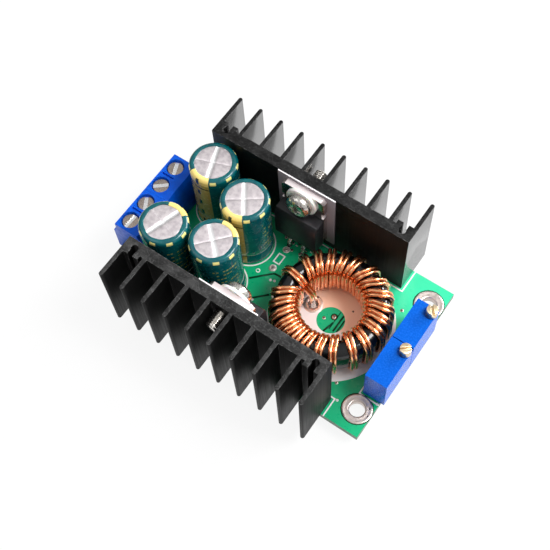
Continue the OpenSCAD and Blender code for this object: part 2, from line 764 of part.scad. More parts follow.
// A flat lead with a forward step of s on its way down to the board
module package_lead(s) {
    h = lead_t / 2;
    k = h * tan(22.5);
    bend = package_low - lead_bend_drop;
    end = package_tail_end;
    down = s == 0 ? [] : [[lead_y - h, bend - k], [lead_y + s - h, bend - s - k]];
    up = s == 0 ? [] : [[lead_y + s + h, bend - s + k], [lead_y + h, bend + k]];
    color("silver") rotate([90, 0, 90]) translate([0, 0, -lead_w / 2]) linear_extrude(lead_w) polygon([
        [lead_y - h, package_low], each down, [lead_y + s - h, end],
        [lead_y + s + h, end], each up, [lead_y + h, package_low]
    ]);
}
module diode_body() { at_near() package_body(); }
module diode_tab() { at_near() package_tab(); }
module diode_leads() {
    at_near() for (i = [-1:1]) translate([i * diode_lead_pitch, 0, 0]) package_lead(0);
}
module regulator_body() { at_far() package_body(); }
module regulator_tab() { at_far() package_tab(); }
module regulator_leads() {
    at_far() for (i = [-2:2]) translate([i * regulator_lead_pitch, 0, 0]) package_lead(stepped(i));
}
module thermal_pad() {
    color("thistle") difference() {
        translate([-pad_w / 2, 0, pad_top - pad_h]) cube([pad_w, pad_t, pad_h]);
        across(tab_hole_r, -cut, pad_t + cut);
    }
}
module thermal_pad_near() { at_near() thermal_pad(); }
module thermal_pad_far() { at_far() thermal_pad(); }
module insulating_bush() {
    color("white") difference() {
        union() {
            across(bush_d / 2, tab_front, tab_front + bush_flange);
            across(tab_hole_r, 0, tab_front + bush_flange / 2);
        }
        across(tab_screw_d / 2 + bush_clear, -cut, tab_front + bush_flange + cut);
    }
}
module insulating_bush_near() { at_near() insulating_bush(); }
module insulating_bush_far() { at_far() insulating_bush(); }
cross_w = 0.7;
cross_h = 1.2;
module tab_screw() {
    head_low = tab_front + bush_flange;
    head_high = head_low + tab_head_h;
    color("silver") difference() {
        union() {
            across(tab_screw_d / 2, head_low - tab_screw_l, head_low + lap);
            translate([0, head_low, tab_hole_z]) rotate([-90, 0, 0])
                rounded_column(tab_head_d / 2, 0, tab_head_h, tab_head_h * 0.6);
        }
        for (a = [0, 90]) translate([0, head_high, tab_hole_z]) rotate([0, a, 0])
            centred_box([tab_head_d / 2, 2 * cross_h, cross_w], -cross_w / 2);
    }
}
module tab_screw_near() { at_near() tab_screw(); }
module tab_screw_far() { at_far() tab_screw(); }

// ---------------------------------------------------------------- trimmers
recess_r = adjuster_d / 2 + 0.4;
recess_h = 0.6;
adjuster_sink = 3;
adjuster_neck_r = adjuster_d / 2 - 0.3;
adjuster_slot_w = 0.5;
adjuster_turn = [42, 130];
trimmer_foot_l = 1;
trimmer_pin_grip = 1.5;
trimmer_tail_end = floor_z + 0.3;
adjuster_x = trimmer_x + trimmer_d - adjuster_side;
function adjuster_y(i) = trimmer_y[i] + trimmer_l / 2 - adjuster_end;
module trimmer_body(i) {
    y0 = trimmer_y[i] - trimmer_l / 2;
    foot = trimmer_foot_l;
    color("dodgerblue") difference() {
        union() {
            translate([trimmer_x, y0, trimmer_foot])
                cube([trimmer_d, trimmer_l, trimmer_h - trimmer_foot]);
            for (x = [trimmer_x, board_l - foot], y = [y0, y0 + trimmer_l - foot])
                translate([x, y, 0]) cube([foot, foot, trimmer_foot + cut]);
        }
        translate([adjuster_x, adjuster_y(i), 0]) {
            drill(recess_r, trimmer_h - recess_h, trimmer_h + cut);
            drill(adjuster_neck_r + thread_clear, trimmer_h - adjuster_sink - touch_clear, trimmer_h);
        }
        for (k = [-1:1]) translate([trimmer_x + trimmer_d / 2, trimmer_y[i] + k * trimmer_pin_pitch, 0])
            drill(trimmer_pin_d / 2, -cut, trimmer_foot + trimmer_pin_grip);
    }
}
module trimmer_screw(i) {
    top = trimmer_h + adjuster_rise;
    color("burlywood") translate([adjuster_x, adjuster_y(i), 0]) difference() {
        union() {
            drill(adjuster_d / 2, trimmer_h - recess_h + touch_clear, top);
            drill(adjuster_neck_r, trimmer_h - adjuster_sink, trimmer_h);
        }
        rotate(adjuster_turn[i])
            centred_box([adjuster_d + 2 * cut, adjuster_slot_w, slot_h + cut], top - slot_h);
    }
}
module trimmer_pins() {
    color("silver") for (p = trimmer_tails) at(p)
        drill(trimmer_pin_d / 2, trimmer_tail_end, trimmer_foot + trimmer_pin_grip);
}

// ---------------------------------------------------------------- parts under the board
module under(p) { translate([p[0], p[1], under_z]) rotate([180, 0, 0]) children(); }
shunt_size = [6.2, 3.2, 0.65];
shunt_pitch = 4.2;
shunt_x = (cap_at[1][0] + cap_lead_pitch / 2 + coil_tails[1][0]) / 2;
shunt_at = [for (i = [-1:1]) [shunt_x, row_y + i * shunt_pitch]];
module chips(places, size) {
    for (p = places) under(p) centred_box(size);
}
module shunt_resistors() { color("#202022") chips(shunt_at, shunt_size); }

// Current and voltage setting, round the amplifier under the inductor
amplifier_shift = [6, 0];
amplifier_at = [coil_x, row_y] + amplifier_shift;
amplifier_size = [4.9, 3.9, 1.45];
amplifier_stand = 0.1;
amplifier_span = 6;
amplifier_pitch = 1.27;
amplifier_lead = [0.4, 0.2, 0.9];     // width, thickness at the board, height at the body
module amplifier_chip() {
    color("#202022") under(amplifier_at) {
        centred_box(amplifier_size, amplifier_stand);
        for (k = [-1.5:1.5]) translate([k * amplifier_pitch, 0, 0]) {
            centred_box([amplifier_lead[0], amplifier_span, amplifier_lead[1]]);
            centred_box([amplifier_lead[0], amplifier_size[1] + 3 * lap, amplifier_lead[2]]);
        }
    }
}
reference_shift = [0, 8];
reference_size = [4.5, 2.5, 1.5];
reference_pitch = 1.5;
reference_lead = [0.45, 0.8, 0.4];    // width, length past the body, thickness
module voltage_reference() {
    color("#202022") under(amplifier_at + reference_shift) {
        centred_box(reference_size);
        for (k = [-1:1]) translate([k * reference_pitch, -reference_lead[1], 0])
            centred_box([reference_lead[0], reference_size[1], reference_lead[2]]);
    }
}
chip_size = [2, 1.25, 0.5];
chip_cap_h = 1.1;
chip_pitch = 3;
chip_row_shift = [0, -7.5];
chip_column_shift = [-7, -1];
chip_cap_shifts = [[-5, 5], [6.2, 5], [6.2, 1.5]];
chip_at = [
    for (i = [-2:2]) amplifier_at + chip_row_shift + [i * chip_pitch, 0],
    for (i = [0, 1]) amplifier_at + chip_column_shift + [0, i * chip_pitch]
];
chip_cap_at = [for (p = chip_cap_shifts) amplifier_at + p];
module chip_resistors() { color("#2a2a2c") chips(chip_at, chip_size); }
module chip_capacitors() { color("tan") chips(chip_cap_at, [chip_size[0], chip_size[1], chip_cap_h]); }

placed() circuit_board();
placed() silkscreen();
placed() mount_hole_rings();
placed() solder_pads();
placed() solder_joints();
placed() terminal_housing_input();
placed() terminal_housing_output();
placed() terminal_cage(0);  // terminal_cage_1
placed() terminal_cage(1);  // terminal_cage_2
placed() terminal_cage(2);  // terminal_cage_3
placed() terminal_cage(3);  // terminal_cage_4
placed() terminal_screw(0);  // terminal_screw_1
placed() terminal_screw(1);  // terminal_screw_2
placed() terminal_screw(2);  // terminal_screw_3
placed() terminal_screw(3);  // terminal_screw_4
placed() terminal_contacts();
placed() capacitor_can(0);  // capacitor_can_1
placed() capacitor_can(1);  // capacitor_can_2
placed() capacitor_can(2);  // capacitor_can_3
placed() capacitor_can(3);  // capacitor_can_4
placed() capacitor_sleeve(0);  // capacitor_sleeve_1
placed() capacitor_sleeve(1);  // capacitor_sleeve_2
placed() capacitor_sleeve(2);  // capacitor_sleeve_3
placed() capacitor_sleeve(3);  // capacitor_sleeve_4
placed() capacitor_seal(0);  // capacitor_seal_1
placed() capacitor_seal(1);  // capacitor_seal_2
placed() capacitor_seal(2);  // capacitor_seal_3
placed() capacitor_seal(3);  // capacitor_seal_4
placed() capacitor_leads();
placed() inductor_core();
placed() inductor_winding();
placed() heatsink_near();
placed() heatsink_far();
placed() heatsink_pins();
placed() diode_body();
placed() diode_tab();
placed() diode_leads();
placed() regulator_body();
placed() regulator_tab();
placed() regulator_leads();
placed() thermal_pad_near();
placed() thermal_pad_far();
placed() insulating_bush_near();
placed() insulating_bush_far();
placed() tab_screw_near();
placed() tab_screw_far();
placed() trimmer_body(0);  // trimmer_body_1
placed() trimmer_body(1);  // trimmer_body_2
placed() trimmer_screw(0);  // trimmer_screw_1
placed() trimmer_screw(1);  // trimmer_screw_2
placed() trimmer_pins();
placed() shunt_resistors();
placed() amplifier_chip();
placed() voltage_reference();
placed() chip_resistors();
placed() chip_capacitors();
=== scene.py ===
# %% [markdown]
# # Dressing a step-down converter module
# The module's solids are already made to size, in metres, and they stay where they are.
# This lesson gives them what a maker's eye looks for: rounded edges, real windings, threads,
# shrunk sleeves, solder and a finish for every surface. It starts with the frame, which
# holds one object for each solid.

# %% Load the frame
import json
import math
import random

import bmesh
import bpy
from mathutils import Matrix, Vector


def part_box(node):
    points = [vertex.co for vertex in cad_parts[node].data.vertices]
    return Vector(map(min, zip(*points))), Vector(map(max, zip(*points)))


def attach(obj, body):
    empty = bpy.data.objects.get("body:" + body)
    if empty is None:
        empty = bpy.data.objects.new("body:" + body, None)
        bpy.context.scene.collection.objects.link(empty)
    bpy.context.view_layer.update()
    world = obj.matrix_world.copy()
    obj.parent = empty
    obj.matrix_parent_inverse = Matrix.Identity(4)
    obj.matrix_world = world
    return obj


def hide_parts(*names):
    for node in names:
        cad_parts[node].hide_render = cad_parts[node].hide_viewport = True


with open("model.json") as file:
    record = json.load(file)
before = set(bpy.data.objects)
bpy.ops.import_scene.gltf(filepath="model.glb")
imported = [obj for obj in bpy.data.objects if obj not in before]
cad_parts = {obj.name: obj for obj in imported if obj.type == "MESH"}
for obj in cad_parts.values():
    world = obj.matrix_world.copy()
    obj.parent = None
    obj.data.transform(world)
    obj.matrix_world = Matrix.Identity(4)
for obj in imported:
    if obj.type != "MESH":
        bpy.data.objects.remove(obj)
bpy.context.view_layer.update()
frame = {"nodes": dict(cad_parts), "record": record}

MM = 0.001
record = frame["record"]
body_of = {n: body for body, nodes in record["behaviour"]["bodies"].items() for n in nodes}
slot_of = {part["node"]: part["material_slot"] for part in record["subparts"]}

# %% [markdown]
# ## Measuring the solids
# Every place in this file comes from the solids. The first helper joins points that meet,
# and the next three give a node's middle, a box's radius and its foot. The last splits a
# node into its separate solids, because pins, joints and chips share a node.

# %% Places of the solids
def weld(bm):
    """Joins points that meet."""
    bmesh.ops.remove_doubles(bm, verts=bm.verts, dist=0.001 * MM)


def middle(node):
    """Middle of a node's box."""
    low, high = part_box(node)
    return (low + high) / 2


def radius_of(low, high):
    """Half of a box's side, in millimetres."""
    return (high.x - low.x) / 2 / MM


def foot_of(low, high):
    """Middle of a box, at the height of the part's foot."""
    return Vector(((low.x + high.x) / 2, (low.y + high.y) / 2, 0))


def solids_in(node):
    """The box of each separate solid in a node, in order along the board."""
    bm = bmesh.new()
    bm.from_mesh(frame["nodes"][node].data)
    weld(bm)
    boxes, seen = [], set()
    for start in bm.verts:
        if start in seen:
            continue
        group, todo = [], [start]
        seen.add(start)
        while todo:
            vert = todo.pop()
            group.append(vert.co.copy())
            for edge in vert.link_edges:
                other = edge.other_vert(vert)
                if other not in seen:
                    seen.add(other)
                    todo.append(other)
        low = Vector(min(c[i] for c in group) for i in range(3))
        high = Vector(max(c[i] for c in group) for i in range(3))
        boxes.append((low, high))
    bm.free()
    return sorted(boxes, key=lambda b: (round(b[0].x, 5), b[0].y))


board_low, board_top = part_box("circuit_board")[0].z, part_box("circuit_board")[1].z
coil_low, coil_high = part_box("inductor_core")
coil_axis = foot_of(coil_low, coil_high)
coil_at = coil_axis + Vector((0, 0, board_top))
print("board top at", round(board_top / MM, 2), "mm; coil at", [round(c / MM, 2) for c in coil_at])

# %% [markdown]
# ## Nodes without the typing
# A material is a small network. A few helpers keep each one short: add a node with its
# inputs, do a sum, or mix two colours. Colours are written as they look on a screen and
# turned into the linear values that light needs.

# %% Node helpers
def look(red, green, blue):
    """A screen colour from 0 to 255 as linear RGBA."""
    parts = [c / 255 for c in (red, green, blue)]
    return (*[c / 12.92 if c <= 0.04045 else ((c + 0.055) / 1.055) ** 2.4 for c in parts], 1.0)


def wire(tree, socket, value):
    """Sets a socket to a plain value, or links another node's output to it."""
    if isinstance(value, bpy.types.NodeSocket):
        tree.links.new(value, socket)
    else:
        socket.default_value = value


def add(tree, kind, values=None, **settings):
    """Adds one shader node; values maps its input names to numbers or outputs."""
    node = tree.nodes.new("ShaderNode" + kind)
    for name, value in settings.items():
        setattr(node, name, value)
    for name, value in (values or {}).items():
        wire(tree, node.inputs[name], value)
    return node


def calc(tree, operation, first, second=0.0):
    """One sum on two values."""
    node = tree.nodes.new("ShaderNodeMath")
    node.operation = operation
    wire(tree, node.inputs[0], first)
    wire(tree, node.inputs[1], second)
    return node.outputs[0]


def times(tree, first, second):
    """A product of two values."""
    return calc(tree, "MULTIPLY", first, second)


def mixed(tree, factor, first, second):
    """A colour between two colours."""
    node = tree.nodes.new("ShaderNodeMix")
    node.data_type = "RGBA"
    for index, value in ((0, factor), (6, first), (7, second)):
        wire(tree, node.inputs[index], value)
    return node.outputs[2]


# %% [markdown]
# More helpers shape a value. A ramp moves it smoothly from one range to another, a band
# picks out a stretch of it, and a beat repeats it. The last two read which way a surface
# faces, and the coordinates that a mesh carries.

# %% Shaping values
def dot(tree, first, second):
    """How far one vector goes along another."""
    node = add(tree, "VectorMath", {0: first, 1: second}, operation="DOT_PRODUCT")
    return node.outputs["Value"]


def ramp(tree, value, low, high, start=0.0, end=1.0):
    """A value moved smoothly from the range low..high to start..end, and held there."""
    return add(tree, "MapRange", {
        "Value": value, "From Min": low, "From Max": high, "To Min": start, "To Max": end,
    }, interpolation_type="SMOOTHSTEP").outputs["Result"]


def band(tree, value, centre, half, soft):
    """1 where a value is within half of centre, and 0 outside it."""
    away = calc(tree, "ABSOLUTE", calc(tree, "SUBTRACT", value, centre))
    return ramp(tree, away, half, half + soft, 1.0, 0.0)


def beat(tree, value, count):
    """Counts from 0 to 1 over and over, count times while the value goes from 0 to 1."""
    return calc(tree, "FRACT", times(tree, value, count))


def facing(tree, axis="Z"):
    """How far a surface faces along an axis of the part, from -1 to 1."""
    normal = add(tree, "NewGeometry").outputs["Normal"]
    return add(tree, "SeparateXYZ", {0: normal}).outputs[axis]


def from_uv(tree, layer):
    """A mesh's own coordinates, as separate numbers."""
    return add(tree, "SeparateXYZ", {0: add(tree, "UVMap", uv_map=layer).outputs[0]}).outputs


# %% [markdown]
# ## Effects that finishes share
# Grain, streaks, scratches, worn edges and dust appear on many parts, so each is a node
# group with named inputs, built once. A group only puts out values: the shader itself
# stays in the material. Sizes go in as millimetres on the part.

# %% Shared node groups
def new_group(name, inputs, outputs):
    """An empty node group, with its inner input and output sockets."""
    tree = bpy.data.node_groups.new(name, "ShaderNodeTree")
    for label, kind, value in inputs:
        socket = tree.interface.new_socket(name=label, in_out="INPUT", socket_type="NodeSocket" + kind)
        socket.default_value = value
    for label in outputs:
        tree.interface.new_socket(name=label, in_out="OUTPUT", socket_type="NodeSocketFloat")
    return tree, tree.nodes.new("NodeGroupInput").outputs, tree.nodes.new("NodeGroupOutput").inputs


def on_part(tree, scale):
    """Places on the part in millimetres, times a vector or over a size."""
    place = add(tree, "TexCoord").outputs["Object"]
    in_mm = add(tree, "VectorMath", {0: place, 1: (1 / MM,) * 3}, operation="MULTIPLY").outputs[0]
    return add(tree, "VectorMath", {0: in_mm, 1: scale}, operation="MULTIPLY").outputs[0]


def effect(tree, group, **values):
    """Places a shared effect and gives its first output; _ stands for a space in input names."""
    return add(tree, "Group", {k.replace("_", " "): v for k, v in values.items()}, node_tree=group).outputs[0]


# %% [markdown]
# Grain is plain noise with a size in millimetres, and streaks are noise stretched along
# one direction. Both start from places on the part, so a finish keeps its scale on every
# piece that wears it.

# %% Grain and streaks
tree, ins, outs = new_group("grain", [("Size", "Float", 0.3), ("Detail", "Float", 4.0)], ["Value"])
even = calc(tree, "DIVIDE", 1.0, ins["Size"])
spot = on_part(tree, add(tree, "CombineXYZ", {"X": even, "Y": even, "Z": even}).outputs[0])
noise = add(tree, "TexNoise", {"Vector": spot, "Scale": 1.0, "Detail": ins["Detail"]})
wire(tree, outs["Value"], noise.outputs["Fac"])
grain_group = tree


def grain(tree, size, detail=4.0):
    """Grain of a size in millimetres."""
    return effect(tree, grain_group, Size=size, Detail=detail)


tree, ins, outs = new_group("streaks", [("Per Millimetre", "Vector", (1, 1, 1))], ["Value"])
spot = on_part(tree, ins["Per Millimetre"])
noise = add(tree, "TexNoise", {"Vector": spot, "Scale": 1.0, "Detail": 3.0})
wire(tree, outs["Value"], noise.outputs["Fac"])
streak_group = tree

# %% [markdown]
# Scratches are the borders between random cells, bent a little so that they don't run
# straight. An edge is worn where a rounded surface would turn away from the true one, and
# dust lies on faces that look up.

# %% Scratches, worn edges and dust
tree, ins, outs = new_group(
    "scratches", [("Per Millimetre", "Vector", (1, 1, 1)), ("Width", "Float", 0.03)], ["Mask"])
bent = add(tree, "TexNoise", {"Vector": on_part(tree, (0.4, 0.4, 0.4)), "Scale": 1.0})
shift = add(tree, "VectorMath", {0: bent.outputs["Color"], 1: (0.6, 0.6, 0.6)}, operation="MULTIPLY")
spot = on_part(tree, ins["Per Millimetre"])
spot = add(tree, "VectorMath", {0: spot, 1: shift.outputs[0]}, operation="ADD")
cells = add(tree, "TexVoronoi", {"Vector": spot.outputs[0], "Scale": 1.0}, feature="DISTANCE_TO_EDGE")
wire(tree, outs["Mask"], ramp(tree, cells.outputs["Distance"], 0.0, ins["Width"], 1.0, 0.0))
scratch_group = tree

tree, ins, outs = new_group("edge wear", [("Width", "Float", 0.15), ("Patch Size", "Float", 0.8)], ["Mask"])
round_edge = add(tree, "Bevel", {"Radius": times(tree, ins["Width"], MM)}, samples=4)
true_face = add(tree, "NewGeometry").outputs["Normal"]
edge = ramp(tree, dot(tree, round_edge.outputs[0], true_face), 0.97, 0.80)
patch = grain(tree, ins["Patch Size"])
wire(tree, outs["Mask"], times(tree, edge, ramp(tree, patch, 0.42, 0.62)))
wear_group = tree

tree, ins, outs = new_group("dust", [("Amount", "Float", 0.3), ("Size", "Float", 0.6)], ["Mask"])
speck = grain(tree, ins["Size"], 6.0)
lying = times(tree, ramp(tree, facing(tree), 0.5, 1.0), ramp(tree, speck, 0.5, 0.75))
wire(tree, outs["Mask"], times(tree, lying, ins["Amount"]))
dust_group = tree
print("shared effects:", [g.name for g in bpy.data.node_groups])

# %% [markdown]
# ## Starting a finish
# Each finish is one Principled BSDF. Numbers that are the same all over go on its own
# sockets; colour, roughness and bump that change over the surface are wired in. The
# finishes are kept by the record's slot names, so each node finds its own.

# %% A finish and its bump
finishes = {}


def finish(slot, colour, roughness, metallic=0.0, **fixed):
    """A new material for a slot; fixed sets sockets by name, with _ for a space."""
    material = bpy.data.materials.new(slot)
    material.use_nodes = True
    tree = material.node_tree
    sockets = tree.nodes["Principled BSDF"].inputs
    sockets["Base Color"].default_value = colour
    sockets["Roughness"].default_value = roughness
    sockets["Metallic"].default_value = metallic
    for name, value in fixed.items():
        sockets[name.replace("_", " ")].default_value = value
    finishes[slot] = material
    return tree, sockets


def relief(tree, sockets, height, depth):
    """Wires a bump of a given depth in millimetres."""
    node = add(tree, "Bump", {"Height": height, "Distance": depth * MM, "Strength": 1.0})
    wire(tree, sockets["Normal"], node.outputs["Normal"])


def paint(tree, sockets, share, first, second):
    """Mixes the base colour from two colours."""
    wire(tree, sockets["Base Color"], mixed(tree, share, first, second))


def gloss(tree, sockets, value, low, high):
    """Lets a patchy value move the roughness between low and high."""
    wire(tree, sockets["Roughness"], ramp(tree, value, 0.3, 0.7, low, high))


# %% [markdown]
# ## The board's finishes
# The laminate is covered by a glossy green solder mask on both faces, while its routed
# edge shows darker glass fibre. Copper runs under the mask as very shallow steps. The
# printed ink is chalky white, and the big ring under the inductor is painted pinkish
# brown on one side: partly dried flux, and partly a painted reflection of the copper.

# %% Solder mask, ink and isolation gaps
tree, sockets = finish("board_laminate", look(0, 176, 118), 0.4,
                       Specular_IOR_Level=0.3, Coat_Weight=0.12, Coat_Roughness=0.1)
cloud = grain(tree, 9.0, 2.0)
# Painted light: the mask is painted paler toward the far right corner, in slow clouds.
across_board = dot(tree, on_part(tree, (1.0, 1.0, 1.0)), (0.5, 0.85, 0.0))
painted_light_across_board = ramp(tree, calc(tree, "ADD", across_board, times(tree, cloud, 8.0)), 8.0, 28.0)
mask = mixed(tree, painted_light_across_board, look(0, 172, 116), look(52, 206, 152))
fibres = effect(tree, streak_group, Per_Millimetre=(0.6, 0.6, 9.0))
glass = mixed(tree, fibres, look(8, 66, 42), look(44, 104, 62))
flat = calc(tree, "ABSOLUTE", facing(tree))
paint(tree, sockets, ramp(tree, flat, 0.4, 0.8), glass, mask)
gloss(tree, sockets, grain(tree, 1.2), 0.26, 0.42)
relief(tree, sockets, grain(tree, 0.5, 3.0), 0.012)

tree, sockets = finish("isolation_gap", look(2, 66, 40), 0.45, Specular_IOR_Level=0.3)
gloss(tree, sockets, grain(tree, 0.4), 0.35, 0.5)

tree, sockets = finish("board_ink", look(236, 232, 228), 0.55)
place = add(tree, "TexCoord").outputs["Object"]
from_coil = add(tree, "VectorMath", {0: place, 1: coil_at}, operation="SUBTRACT").outputs[0]
along = dot(tree, from_coil, Vector((0.41, 0.91, 0)) / MM)
patchy = times(tree, grain(tree, 2.5), 5.0)
near_coil = add(tree, "VectorMath", {0: from_coil}, operation="LENGTH").outputs["Value"]
# Painted reflection and real stain: one side of the ring near the coil is painted pinkish brown, partly a
# reflection of the copper and partly dried flux.
stain_and_copper_reflection = times(tree, ramp(tree, calc(tree, "ADD", along, patchy), 0.9, 4.2),
               ramp(tree, near_coil, 7.6 * MM, 9.5 * MM, 1.0, 0.0))
paint(tree, sockets, stain_and_copper_reflection, look(240, 234, 234), look(250, 204, 176))
relief(tree, sockets, grain(tree, 0.12), 0.008)

tree, sockets = finish("via_hole", look(40, 34, 30), 0.7)
wire(tree, sockets["Roughness"], grain(tree, 0.2))
print("finishes so far:", len(finishes))

# %% [markdown]
# ## Tin, solder, steel and aluminium
# All the bright metals are metallic with a grey base, and differ in how they spread
# light: hot tin is soft and clouded, solder is smooth and wavy, and the drawn cans have a
# fine even haze. A can's wide score and a clamp screw's slot are painted near-white as a
# highlight: their mesh says where, in coordinates of its own. Brass has paler corners where a screwdriver has
# rubbed.

# %% Bright metals
def metal(slot, colour, roughness, spread, size, depth, **fixed):
    """A metal whose roughness varies by spread, with a bump; size and depth are in millimetres."""
    tree, sockets = finish(slot, colour, roughness, 1.0, **fixed)
    cloud = grain(tree, size)
    gloss(tree, sockets, cloud, roughness - spread, roughness + spread)
    relief(tree, sockets, cloud, depth)
    return tree, sockets


metal("tinned_copper", look(208, 195, 188), 0.38, 0.10, 0.5, 0.010)
metal("solder", look(205, 205, 206), 0.22, 0.10, 0.8, 0.030)
metal("tinned_lead", look(208, 206, 204), 0.28, 0.08, 0.4, 0.008)
tree, sockets = metal("plated_steel", look(216, 212, 206), 0.22, 0.10, 0.25, 0.006)
scratch = effect(tree, scratch_group, Per_Millimetre=(2.5, 0.8, 1.5), Width=0.05)
paint(tree, sockets, scratch, look(222, 218, 212), look(150, 144, 138))

tree, sockets = metal("clamp_screw_steel", look(196, 182, 172), 0.3, 0.08, 0.3, 0.012)
dull = mixed(tree, grain(tree, 0.5), look(206, 192, 180), look(150, 136, 128))
# Painted highlight: the slot's floor is painted white.
paint(tree, sockets, from_uv(tree, "score")["X"], dull, look(255, 255, 255))

tree, sockets = metal("can_aluminium", look(240, 232, 234), 0.46, 0.08, 0.18, 0.010)
haze = grain(tree, 1.0, 8.0)
drawn = mixed(tree, ramp(tree, haze, 0.35, 0.7), look(240, 232, 234), look(214, 205, 209))
# Painted highlight: the wide score is painted near-white, and the narrow one a little.
paint(tree, sockets, from_uv(tree, "score")["X"], drawn, look(255, 254, 255))

tree, sockets = metal("plated_tab", look(226, 220, 214), 0.24, 0.10, 0.6, 0.008)
scratch = effect(tree, scratch_group, Per_Millimetre=(0.5, 2.0, 1.4), Width=0.035)
stain = grain(tree, 3.0, 2.0)
clean = mixed(tree, ramp(tree, stain, 0.45, 0.7), look(230, 226, 222), look(176, 158, 152))
used = mixed(tree, scratch, clean, look(150, 140, 136))
# Painted highlight: the tab's upward faces are painted near-white, and rougher.
painted_tab_top_highlight = ramp(tree, facing(tree), 0.5, 0.9)
paint(tree, sockets, painted_tab_top_highlight, used, look(250, 240, 240))
wire(tree, sockets["Roughness"], ramp(tree, painted_tab_top_highlight, 0.0, 1.0, 0.24, 0.55))

tree, sockets = metal("adjuster_brass", look(250, 236, 206), 0.36, 0.08, 0.3, 0.008)
dirt = effect(tree, wear_group, Width=0.2, Patch_Size=0.5)
paint(tree, sockets, dirt, look(240, 218, 180), look(255, 248, 230))
print("finishes so far:", len(finishes))

# %% [markdown]
# ## Black anodised extrusions
# The heatsinks are sawn from a long extrusion. Their sides keep the die's fine lines,
# which run with the extrusion, under a black coat. The sawn ends are coarse and grey,
# with scratches and bright worn corners. The far sink's fins are sealed and mirror the
# white around them: a coat with a high index of refraction, on fin sides only, gives that.

# %% Anodised aluminium
def grey(level):
    """A neutral screen colour."""
    return look(level, level, level)


def anodised(slot, dark, sawn_dark, sawn_light, roughness, edge_level, sealed, **fixed):
    """Black sides with die lines, and grey sawn ends; sealed adds the mirror coat on fin sides."""
    tree, sockets = finish(slot, grey(dark), roughness, **fixed)
    sawn = ramp(tree, calc(tree, "ABSOLUTE", facing(tree)), 0.6, 0.9)
    blotch = grain(tree, 2.4, 6.0)
    fine = grain(tree, 0.22, 3.0)
    saw_marks = effect(tree, scratch_group, Per_Millimetre=(0.5, 1.1, 0.5), Width=0.03)
    uneven = ramp(tree, calc(tree, "ADD", blotch, times(tree, fine, 0.15)), 0.45, 0.8)
    end_face = mixed(tree, uneven, grey(sawn_dark), grey(sawn_light))
    end_face = mixed(tree, times(tree, saw_marks, 0.3), end_face, grey(sawn_light + 40))
    dusty = mixed(tree, effect(tree, dust_group, Amount=0.2, Size=0.5), end_face, grey(sawn_light + 60))
    die_lines = effect(tree, streak_group, Per_Millimetre=(9.0, 9.0, 0.05))
    side = mixed(tree, ramp(tree, die_lines, 0.5, 0.8), grey(dark), grey(dark + 14))
    worn = times(tree, effect(tree, wear_group, Width=0.22, Patch_Size=1.0), 0.85)
    paint(tree, sockets, worn, mixed(tree, sawn, side, dusty), grey(edge_level))
    drawn_gloss = ramp(tree, die_lines, 0.3, 0.7, roughness - 0.06, roughness + 0.08)
    wire(tree, sockets["Roughness"], calc(tree, "ADD", drawn_gloss, times(tree, sawn, 0.25)))
    if sealed:
        fin_side = ramp(tree, calc(tree, "ABSOLUTE", facing(tree, "X")), 0.6, 0.8)
        wire(tree, sockets["Coat Weight"], fin_side)
    lines, pits = times(tree, die_lines, 0.3), times(tree, fine, sawn)
    relief(tree, sockets, calc(tree, "ADD", lines, pits), 0.02)


# The near and far copies differ in the grey of their sawn ends and edges: painted light on the near sink,
# painted shade on the far one.
anodised("black_anodised", 6, 38, 66, 0.5, 150, False, Specular_IOR_Level=0.14)
anodised("black_anodised_far_shaded", 8, 12, 34, 0.5, 140, True,
         Specular_IOR_Level=0.2, Coat_IOR=3.6, Coat_Roughness=0.2)
print("finishes so far:", len(finishes))

# %% [markdown]
# ## Plastics, rubber and lacquer
# The terminal blocks are satin royal blue nylon and the trimmers a glossier sky blue. The
# package bodies are black epoxy with a matt moulded grain. The insulating pad is a lilac
# silicone sheet whose upward faces are painted near-white as a highlight, the bushes are milky
# nylon, and the inductor's core has a thick black lacquer with slow waves.

# %% Mouldings
def plastic(slot, colour, second, roughness, size, depth, **fixed):
    """A moulded finish: two close shades in patches of a size, uneven gloss and a fine surface."""
    tree, sockets = finish(slot, colour, roughness, **fixed)
    cloud = grain(tree, size)
    paint(tree, sockets, ramp(tree, cloud, 0.35, 0.65), colour, second)
    gloss(tree, sockets, cloud, roughness - 0.06, roughness + 0.08)
    relief(tree, sockets, grain(tree, 0.16), depth)
    return tree, sockets


plastic("terminal_plastic", look(0, 92, 220), look(0, 84, 208), 0.36, 1.5, 0.010, Specular_IOR_Level=0.2)
plastic("trimmer_plastic", look(0, 84, 190), look(0, 94, 202), 0.24, 0.35, 0.02,
        Specular_IOR_Level=0.12, Coat_Weight=0.06, Coat_Roughness=0.05)
plastic("package_moulding", look(26, 26, 30), look(36, 35, 40), 0.42, 0.8, 0.020)
plastic("seal_rubber", look(44, 43, 42), look(56, 54, 52), 0.7, 0.6, 0.020)
tree, sockets = plastic("thermal_pad", look(150, 140, 146), look(160, 150, 156), 0.5, 1.2, 0.020)
# Painted highlight: the pad's upward faces are painted near-white.
painted_pad_top_highlight = ramp(tree, facing(tree), 0.5, 0.9)
paint(tree, sockets, painted_pad_top_highlight, look(150, 140, 146), look(250, 246, 248))
plastic("bush_nylon", look(240, 236, 232), look(248, 245, 242), 0.3, 0.9, 0.006,
        Subsurface_Weight=0.25, Subsurface_Scale=0.4 * MM)
plastic("chip_ceramic", look(176, 140, 100), look(190, 154, 112), 0.5, 0.4, 0.010)
tree, sockets = finish("core_coating", look(6, 6, 8), 0.16,
                       Specular_IOR_Level=0.25, Coat_Weight=0.6, Coat_Roughness=0.04)
lumps = grain(tree, 1.6, 3.0)
gloss(tree, sockets, lumps, 0.10, 0.22)
relief(tree, sockets, lumps, 0.10)
print("finishes so far:", len(finishes))

